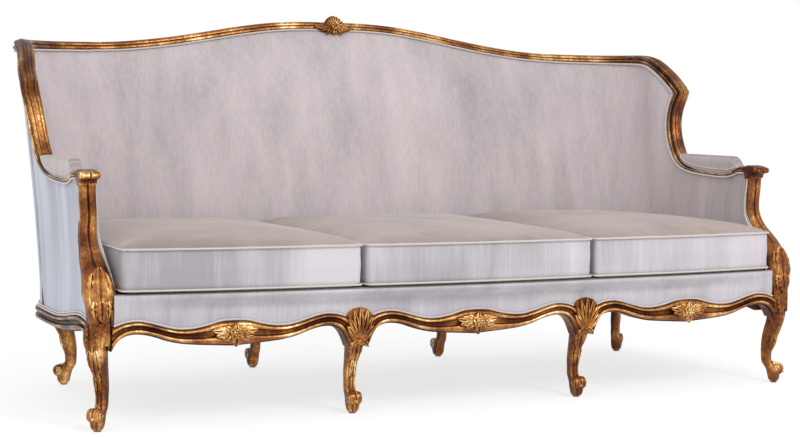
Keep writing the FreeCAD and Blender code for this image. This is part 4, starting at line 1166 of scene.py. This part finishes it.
def build_walls():
    """Pads inside and cloth outside, for the back, the round corners and the sides."""
    x = np.linspace(-CORNER_X, CORNER_X, 200)
    back = Form().rings(pad_sections(back_sections(x)))
    back.make("back_pad", material("back"), nodes=["inside_back"])
    cloth = Form().rings(cover_sections(back_sections(x), TURN_END + CORNER_X - np.abs(x)))
    cloth.make("back_cover", material("outside"), nodes=["outside_back"])
    turns = np.linspace(0, 90, 70)
    pad = pad_sections(corner_sections(turns))
    cover = cover_sections(corner_sections(turns), CORNER_Y + CORNER_R * np.radians(turns))
    inner = side_wall(0.0, PAD)
    outer = side_wall(COVER - CLOTH, COVER, low=lambda run: side_top(run) + 0.6)
    for side, mirror in SIDES:
        corner = Form().rings(pad, mirror=mirror)
        corner.make("corner_pad_" + side, material("back"), nodes=["inside_corner_" + side])
        for name, part, finish, node in (("corner_cover_", cover, "outside", "outside_corner_"),
                                         ("arm_inside_", inner, "back", "inside_arm_"),
                                         ("arm_outside_", outer, "outside", "outside_arm_")):
            form = Form().rings(part, mirror=mirror)
            form.make(name + side, material(finish), nodes=[node + side])


def arm_pad_line():
    """Stations along the arm under the pad, with the height of the pad over the cap at each."""
    p, across, up, height, _ = wing_line(460)
    level = bpy.context.scene.sofa_sizes.pad_level * 1000
    base = p + up * (height + 0.6)[:, None]
    run = np.concatenate([[0], np.cumsum(np.linalg.norm(np.diff(p, axis=0), axis=1))])
    keep = (p[:, 1] < 545) & (base[:, 2] < level - 3) & (p[:, 1] > 176)
    base, across, up, run = base[keep], across[keep], up[keep], run[keep]
    rise = np.maximum((level - base[:, 2]) / np.maximum(up[:, 2], 0.35), 3.0)
    ends = np.minimum(run - run[0], run[-1] - run)
    rise = np.minimum(rise, 5 + 45 * np.sqrt(np.clip((run[-1] - run) / 40.0, 0, 1)))
    return base, across, up, rise, ends


def build_arm_pads():
    """Pads with a full round top: across = 20 cos|cos|^-0.4, up = rise sin^0.6."""
    base, across, up, rise, ends = arm_pad_line()
    w = np.linspace(-0.12, math.pi + 0.12, 40)
    a = 20.0 * np.sign(np.cos(w)) * np.abs(np.cos(w)) ** 0.55 + CAP_WIDTH / 2
    b = np.sign(np.sin(w)) * np.abs(np.sin(w)) ** 0.62
    narrow = (0.72 + 0.28 * np.sqrt(np.clip(ends / 22.0, 0, 1)))[:, None, None]
    a = (a[None, :, None] - CAP_WIDTH / 2) * narrow + CAP_WIDTH / 2
    rings = base[:, None] + across[:, None] * a + up[:, None] * (b[None, :, None] * rise[:, None, None])
    radius = bpy.context.scene.sofa_sizes.piping * 1000
    for side, mirror in SIDES:
        form = Form().rings(rings, mirror=mirror)
        pad = form.make("arm_cushion_" + side, material("arm"), nodes=["arm_pad_" + side])
        cords = Form()
        for offset in (-20.5, 20.5):
            line = base + across * (CAP_WIDTH / 2 + offset * narrow[:, :, 0]) + up * 1.5
            cords.rings(cord(line, radius * 0.8), mirror=mirror)
        cords.make("arm_pad_cord_" + side, material("piping"))


def build_border():
    """The front border: cloth over a roll that leans forward from the rail to the cushions."""
    x = np.linspace(-966, 966, 300)
    face, bow = front_face(x), front_bow(x) + 8
    back = mix(face, bow, 0.5) + 8.7
    ledge = front_top(x) + 1.2
    full = np.full_like
    rows = [(face + 2.7, ledge), (face + 0.6, ledge), (face - 1.5, mix(ledge, 284, 0.6)),
            (face - 2, full(x, 290)), (mix(face, bow, 0.5), full(x, 306)),
            (mix(face, bow, 0.9), full(x, 318)), (bow + 0.4, full(x, 326)), (bow + 4, full(x, DECK)),
            (back, full(x, DECK)), (back, full(x, 300)), (face + 2.7, full(x, 296))]
    rings = np.stack([np.stack([x, y, z], 1) for y, z in rows], 1)
    roll = curve(rings[:, 1:8].transpose(1, 0, 2).reshape(7, -1), 30).reshape(30, -1, 3).transpose(1, 0, 2)
    fine = np.concatenate([roll, rings[:, 8:], rings[:, :1]], 1)
    form = Form().rings(fine)
    form.make("seat_border", material("border"), nodes=["front_border"], sharp=35)


def build_deck():
    """The sprung seat under the cushions, a little fuller in the middle."""
    x = np.linspace(-953, 953, 120)
    front = mix(front_face(x), front_bow(x) + 8, 0.5) + 11
    reach = np.clip((np.abs(x) - CORNER_X) / 184.0, 0, 1)
    rear = CORNER_Y + 184.0 * np.sqrt(1 - reach ** 2)
    t = np.linspace(0, 1, 40)
    y = mix(front[:, None], rear[:, None], t)
    z = DECK - 1.6 + 1.6 * (1 - (2 * t - 1) ** 4) * (1 - (x[:, None] / 953) ** 4)
    top = np.stack(np.broadcast_arrays(x[:, None], y, z), -1)
    bottom = top[:, ::-1].copy()
    bottom[..., 2] = 300.6
    form = Form().rings(np.concatenate([top, bottom], 1))
    form.make("seat_deck", material("hessian"), nodes=["deck_pad"])


def outline_of(x0, x1):
    """A cushion's plan, counter-clockwise from the middle of its front, corners slightly rounded."""
    xs = np.linspace(x0 + 7, x1 - 7, 60)
    line = [(x, front_bow(x) + 7.5) for x in xs]
    corner = x1 - CORNER_X
    if x1 > CORNER_X:
        line += [(x1 - 1.5, front_bow(x1) + 13)]
        line += [(x1, y) for y in np.linspace(front_bow(x1) + 20, 550, 46)]
        line += [(CORNER_X + corner * math.cos(a), 556 + corner * math.sin(a))
                 for a in np.linspace(0.04, math.pi / 2, 26)]
        rear = 556 + corner
    else:
        rear = 733.7
        line += [(x1 - 1.5, front_bow(x1) + 13)]
        line += [(x1, y) for y in np.linspace(front_bow(x1) + 20, rear - 12, 60)]
        line += [(x1 - 2, rear - 3)]
    line += [(x, rear) for x in np.linspace(min(x1 - 10, CORNER_X - 8), x0 + 10, 50)]
    line += [(x0 + 2, rear - 3)]
    line += [(x0, y) for y in np.linspace(rear - 12, front_bow(x0) + 20, 60)]
    line += [(x0 + 1.5, front_bow(x0) + 13)]
    return curve(line, 320, closed=True)


def cushion_skin(x0, x1, crown, dip, seed):
    """Bottom, boxing and top in one skin; the top rises by crown (1 - r^3.2)^0.72 with soft puckers."""
    plan = outline_of(x0, x1)
    low, high = DECK + 0.3, DECK + 108.3
    centre = np.array([(x0 + x1) / 2, 330.0])
    away = plan - centre
    turn = np.arctan2(away[:, 1], away[:, 0])
    rng = np.random.default_rng(seed)
    pucker = sum(a * np.sin(turn * k + s) for a, k, s in
                 zip((0.5, 0.4, 0.35, 0.3), (9, 17, 29, 43), rng.uniform(0, 6, 4)))
    soft = sum(a * np.sin(turn * k + s) for a, k, s in zip((1.0, 0.8), (2, 3), rng.uniform(0, 6, 2)))
    rows = []
    for r in np.concatenate([np.linspace(0.02, 0.9, 14), np.linspace(0.92, 0.99, 8)]):
        z = low + (WELT_RISE - 1) * max(r - 0.93, 0) / 0.06
        rows.append(np.column_stack([centre + away * r, np.full(len(plan), z)]))
    normal = unit(np.roll(plan, -1, 0) - np.roll(plan, 1, 0))[:, ::-1] * np.array([1, -1])
    for t in np.linspace(0, 1, 26):
        swell = 1.6 * math.sin(math.pi * t) - 1.2 - dip * math.sin(2 * math.pi * t) ** 2 * 0.2
        swell = swell - 2.4 * math.exp(-(t / 0.06) ** 2) - 2.4 * math.exp(-((1 - t) / 0.06) ** 2)
        wave = pucker * 0.7 * math.sin(math.pi * t)
        z = mix(low + WELT_RISE, high, t)
        rows.append(np.column_stack([plan + normal * (swell + wave)[:, None], np.full(len(plan), z)]))
    for r in np.concatenate([np.linspace(0.992, 0.9, 12), np.linspace(0.885, 0.02, 46)]):
        rise = crown * (1 - r ** 3.2) ** 0.72
        edge = np.exp(-((1 - r) / 0.07)) * (1 - np.exp(-((1 - r) / 0.01)))
        z = high + rise + pucker * 1.6 * edge + soft * 1.2 * (r * (1 - r) * 4)
        rows.append(np.column_stack([centre + away * r, z]))
    return np.array(rows), plan, normal, low, high


# Name, inner and outer edge, whether mirrored, and the seed of the puckers
CUSHIONS = [("center", -328.7, 328.7, False, 3), ("right", 343.3, 947.7, False, 4),
            ("left", 343.3, 947.7, True, 5)]


def build_cushions():
    """The three loose cushions and the welts round their edges."""
    sizes = bpy.context.scene.sofa_sizes
    crown, dip = sizes.crown * 1000, sizes.seam_dip * 1000
    for name, x0, x1, mirror, seed in CUSHIONS:
        rows, plan, normal, low, high = cushion_skin(x0, x1, crown, dip, seed)
        body = "cushion_" + name
        form = Form().rings(rows, mirror=mirror)
        nodes = [body + "_cover", body + "_filling"]
        form.make("seat_cushion_" + name, material("cushion"), body, nodes, 80)
        cords = Form()
        for z in (low + WELT_RISE, high):
            line = np.column_stack([plan + normal * 2.6, np.full(len(plan), z)])
            cords.rings(cord(line, sizes.piping * 1000, closed=True), closed=True, mirror=mirror)
        cords.make("cushion_piping_" + name, material("piping"), body, [body + "_welts"])


def build_piping():
    """Round cords along both edges of the cap, both sides of the posts and the rails' cloth lines."""
    radius = bpy.context.scene.sofa_sizes.piping * 1150
    form = Form()
    crest = crest_line(np.linspace(-CORNER_X, CORNER_X, 260))
    for a in (-4.3, COVER + 3.3):
        form.rings(cord(crest[0] + crest[1] * a + crest[2] * -3.6, radius))
    for line in (ear_line(140), wing_line(260)):
        for a in (-4.8, COVER + 4.0):
            form.pair(cord(line[0] + line[1] * a + line[2] * -4.6, radius))
    rows = np.array(POST)[::-1]
    z = np.linspace(297, 584, 110)
    y = profile(rows[:, [0, 1]], z)
    form.pair(cord(np.stack([side_at(y + 4, z)[:, 0] - 3.0, y + 4.5, z], 1), radius))
    form.pair(cord(np.stack([side_at(y + 4, z, COVER)[:, 0] + 2.5, y + 4.5, z], 1), radius))
    form.make("wall_cords", material("piping"), nodes=["wall_piping"])
    form = Form()

    def front(x):
        return cord(np.stack([x, front_face(x) - 2.6, front_top(x) + 3.2], 1), radius)

    form.rings(front(np.linspace(-297, 297, 180)))
    form.pair(front(np.linspace(371, 968, 180)))
    run = np.linspace(20, TURN_END + CORNER_X, 420)
    at, out = wall_plan(run, COVER + 3.6)
    for lift, size in ((3.3, 1.0), (9.4, 0.85)):
        line = at - out * (1.2 if size < 1 else 0)
        line[:, 2] = side_top(run) + lift
        form.pair(cord(line, radius * size))
    form.make("rail_cords", material("piping"), nodes=["rail_piping"])


def finish_inner_frame():
    """The hidden frame keeps its CAD pieces and gets its finishes here."""
    finishes = {"beech": ("back_brace", "seat_braces", "wing_stile_left", "wing_stile_right"),
                "webbing": ("webbing_cross", "webbing_long"), "hessian": ("hessian",),
                "dust_cover": ("dust_cover",), "glides": ("foot_glides",)}
    for name, nodes in finishes.items():
        for node in nodes:
            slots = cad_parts[node].data.materials
            slots.clear()
            slots.append(material(name))


class Build:
    """What the sofa's operators have in common."""
    bl_options = {"REGISTER", "UNDO"}
    steps = ()

    def execute(self, context):
        for step in self.steps:
            step()
        return {"FINISHED"}


class SOFA_OT_cap(Build, bpy.types.Operator):
    """Builds the moulded cap: crest, ears, wings and arms"""
    bl_idname = "sofa.cap"
    bl_label = "Crest and arms"
    steps = (build_cap,)


class SOFA_OT_posts(Build, bpy.types.Operator):
    """Builds the two carved arm posts"""
    bl_idname = "sofa.posts"
    bl_label = "Arm posts"
    steps = (build_posts,)


class SOFA_OT_legs(Build, bpy.types.Operator):
    """Builds the eight cabriole legs"""
    bl_idname = "sofa.legs"
    bl_label = "Legs"
    steps = (build_legs,)


class SOFA_OT_rails(Build, bpy.types.Operator):
    """Builds the scalloped seat rails"""
    bl_idname = "sofa.rails"
    bl_label = "Seat rails"
    steps = (build_rails,)


class SOFA_OT_carving(Build, bpy.types.Operator):
    """Builds the flowers on the rails and the shell on the crest"""
    bl_idname = "sofa.carving"
    bl_label = "Carving"
    steps = (build_flowers, build_cartouche)


class SOFA_OT_walls(Build, bpy.types.Operator):
    """Builds the back, corners and sides in cloth"""
    bl_idname = "sofa.walls"
    bl_label = "Back and sides"
    steps = (build_walls,)


class SOFA_OT_seat(Build, bpy.types.Operator):
    """Builds the front border, the sprung seat and the arm pads"""
    bl_idname = "sofa.seat"
    bl_label = "Seat and arm pads"
    steps = (build_border, build_deck, build_arm_pads)


class SOFA_OT_cushions(Build, bpy.types.Operator):
    """Builds the three loose cushions"""
    bl_idname = "sofa.cushions"
    bl_label = "Cushions"
    steps = (build_cushions,)


class SOFA_OT_piping(Build, bpy.types.Operator):
    """Builds the piping along the cloth lines"""
    bl_idname = "sofa.piping"
    bl_label = "Piping"
    steps = (build_piping,)


class SOFA_OT_inner(Build, bpy.types.Operator):
    """Gives the hidden frame its finishes"""
    bl_idname = "sofa.inner"
    bl_label = "Hidden frame"
    steps = (finish_inner_frame,)


def build_stage():
    """A white floor under an even sky, a soft key from the right front and the photo's viewpoint."""
    scene = bpy.context.scene
    world = bpy.data.worlds.new("sky")
    world.use_nodes = True
    sky = world.node_tree.nodes["Background"]
    sky.inputs[0].default_value = (1.0, 1.0, 1.0, 1)
    sky.inputs[1].default_value = 1.0
    scene.world = world
    mesh = bpy.data.meshes.new("floor")
    mesh.from_pydata([(-14, -10, 0), (14, -10, 0), (14, 22, 0), (-14, 22, 0)], [], [(0, 1, 2, 3)])
    floor = bpy.data.objects.new("floor", mesh)
    paper = Shader("floor")
    paper.main.inputs["Base Color"].default_value = (0.27, 0.27, 0.27, 1)
    paper.main.inputs["Roughness"].default_value = 1.0
    paper.main.inputs["Specular IOR Level"].default_value = 0.0
    paper.main.inputs["Emission Color"].default_value = (1, 1, 1, 1)
    paper.main.inputs["Emission Strength"].default_value = 0.74
    mesh.materials.append(paper.material)
    scene.collection.objects.link(floor)
    for name, spot, aim, size, power in (("key", (0.9, -3.6, 3.2), (0.2, 0, 0.5), 1.6, 85.0),
                                         ("side", (-3.2, -2.2, 2.4), (-0.6, 0, 0.5), 1.8, 22.0)):
        lamp = bpy.data.lights.new(name, "AREA")
        lamp.size, lamp.energy = size, power
        obj = bpy.data.objects.new(name, lamp)
        obj.location = spot
        obj.rotation_euler = (Vector(aim) - Vector(spot)).to_track_quat("-Z", "Y").to_euler()
        scene.collection.objects.link(obj)
    # The photo's viewpoint, solved from its mirrored points
    yaw, pitch, roll = 0.44419, 0.06898, 0.01278
    ahead = Vector((math.sin(yaw) * math.cos(pitch), math.cos(yaw) * math.cos(pitch), -math.sin(pitch)))
    right = ahead.cross(Vector((0, 0, 1))).normalized()
    up = right.cross(ahead)
    turned = right * math.cos(roll) + up * math.sin(roll)
    up = up * math.cos(roll) - right * math.sin(roll)
    data = bpy.data.cameras.new("view")
    data.sensor_width, data.lens = 36.0, 76.5
    camera = bpy.data.objects.new("view", data)
    place = Matrix((turned, up, -ahead)).transposed().to_4x4()
    place.translation = (-2.08165, -3.94289 + SHIFT[1] * 0.001, 0.79851)
    camera.matrix_world = place
    scene.collection.objects.link(camera)
    scene.camera = camera
    scene.render.resolution_x, scene.render.resolution_y = 800, 437
    scene.view_settings.view_transform = "Standard"


class SOFA_OT_stage(Build, bpy.types.Operator):
    """Sets the floor, the lights and the camera"""
    bl_idname = "sofa.stage"
    bl_label = "Stage"
    steps = (build_stage,)


OPERATORS = (SOFA_OT_cap, SOFA_OT_posts, SOFA_OT_legs, SOFA_OT_rails, SOFA_OT_carving, SOFA_OT_walls,
             SOFA_OT_seat, SOFA_OT_cushions, SOFA_OT_piping, SOFA_OT_inner, SOFA_OT_stage)


class SOFA_PT_panel(bpy.types.Panel):
    """Lists the sofa's sizes, colours and steps"""
    bl_label = "Sofa"
    bl_space_type = "VIEW_3D"
    bl_region_type = "UI"
    bl_category = "Sofa"

    def draw(self, context):
        for group in (context.scene.sofa_sizes, context.scene.sofa_colours):
            for name in group.__annotations__:
                self.layout.prop(group, name)
        for kind in OPERATORS:
            self.layout.operator(kind.bl_idname)


CLASSES = (SofaSizes, SofaColours) + OPERATORS + (SOFA_PT_panel,)


def register():
    for kind in CLASSES:
        bpy.utils.register_class(kind)
    bpy.types.Scene.sofa_sizes = bpy.props.PointerProperty(type=SofaSizes)
    bpy.types.Scene.sofa_colours = bpy.props.PointerProperty(type=SofaColours)


def unregister():
    del bpy.types.Scene.sofa_sizes, bpy.types.Scene.sofa_colours
    for kind in reversed(CLASSES):
        bpy.utils.unregister_class(kind)


def main():
    register()
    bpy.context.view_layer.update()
    for kind in OPERATORS:
        group, name = kind.bl_idname.split(".")
        getattr(getattr(bpy.ops, group), name)()


if __name__ == "__main__":
    main()
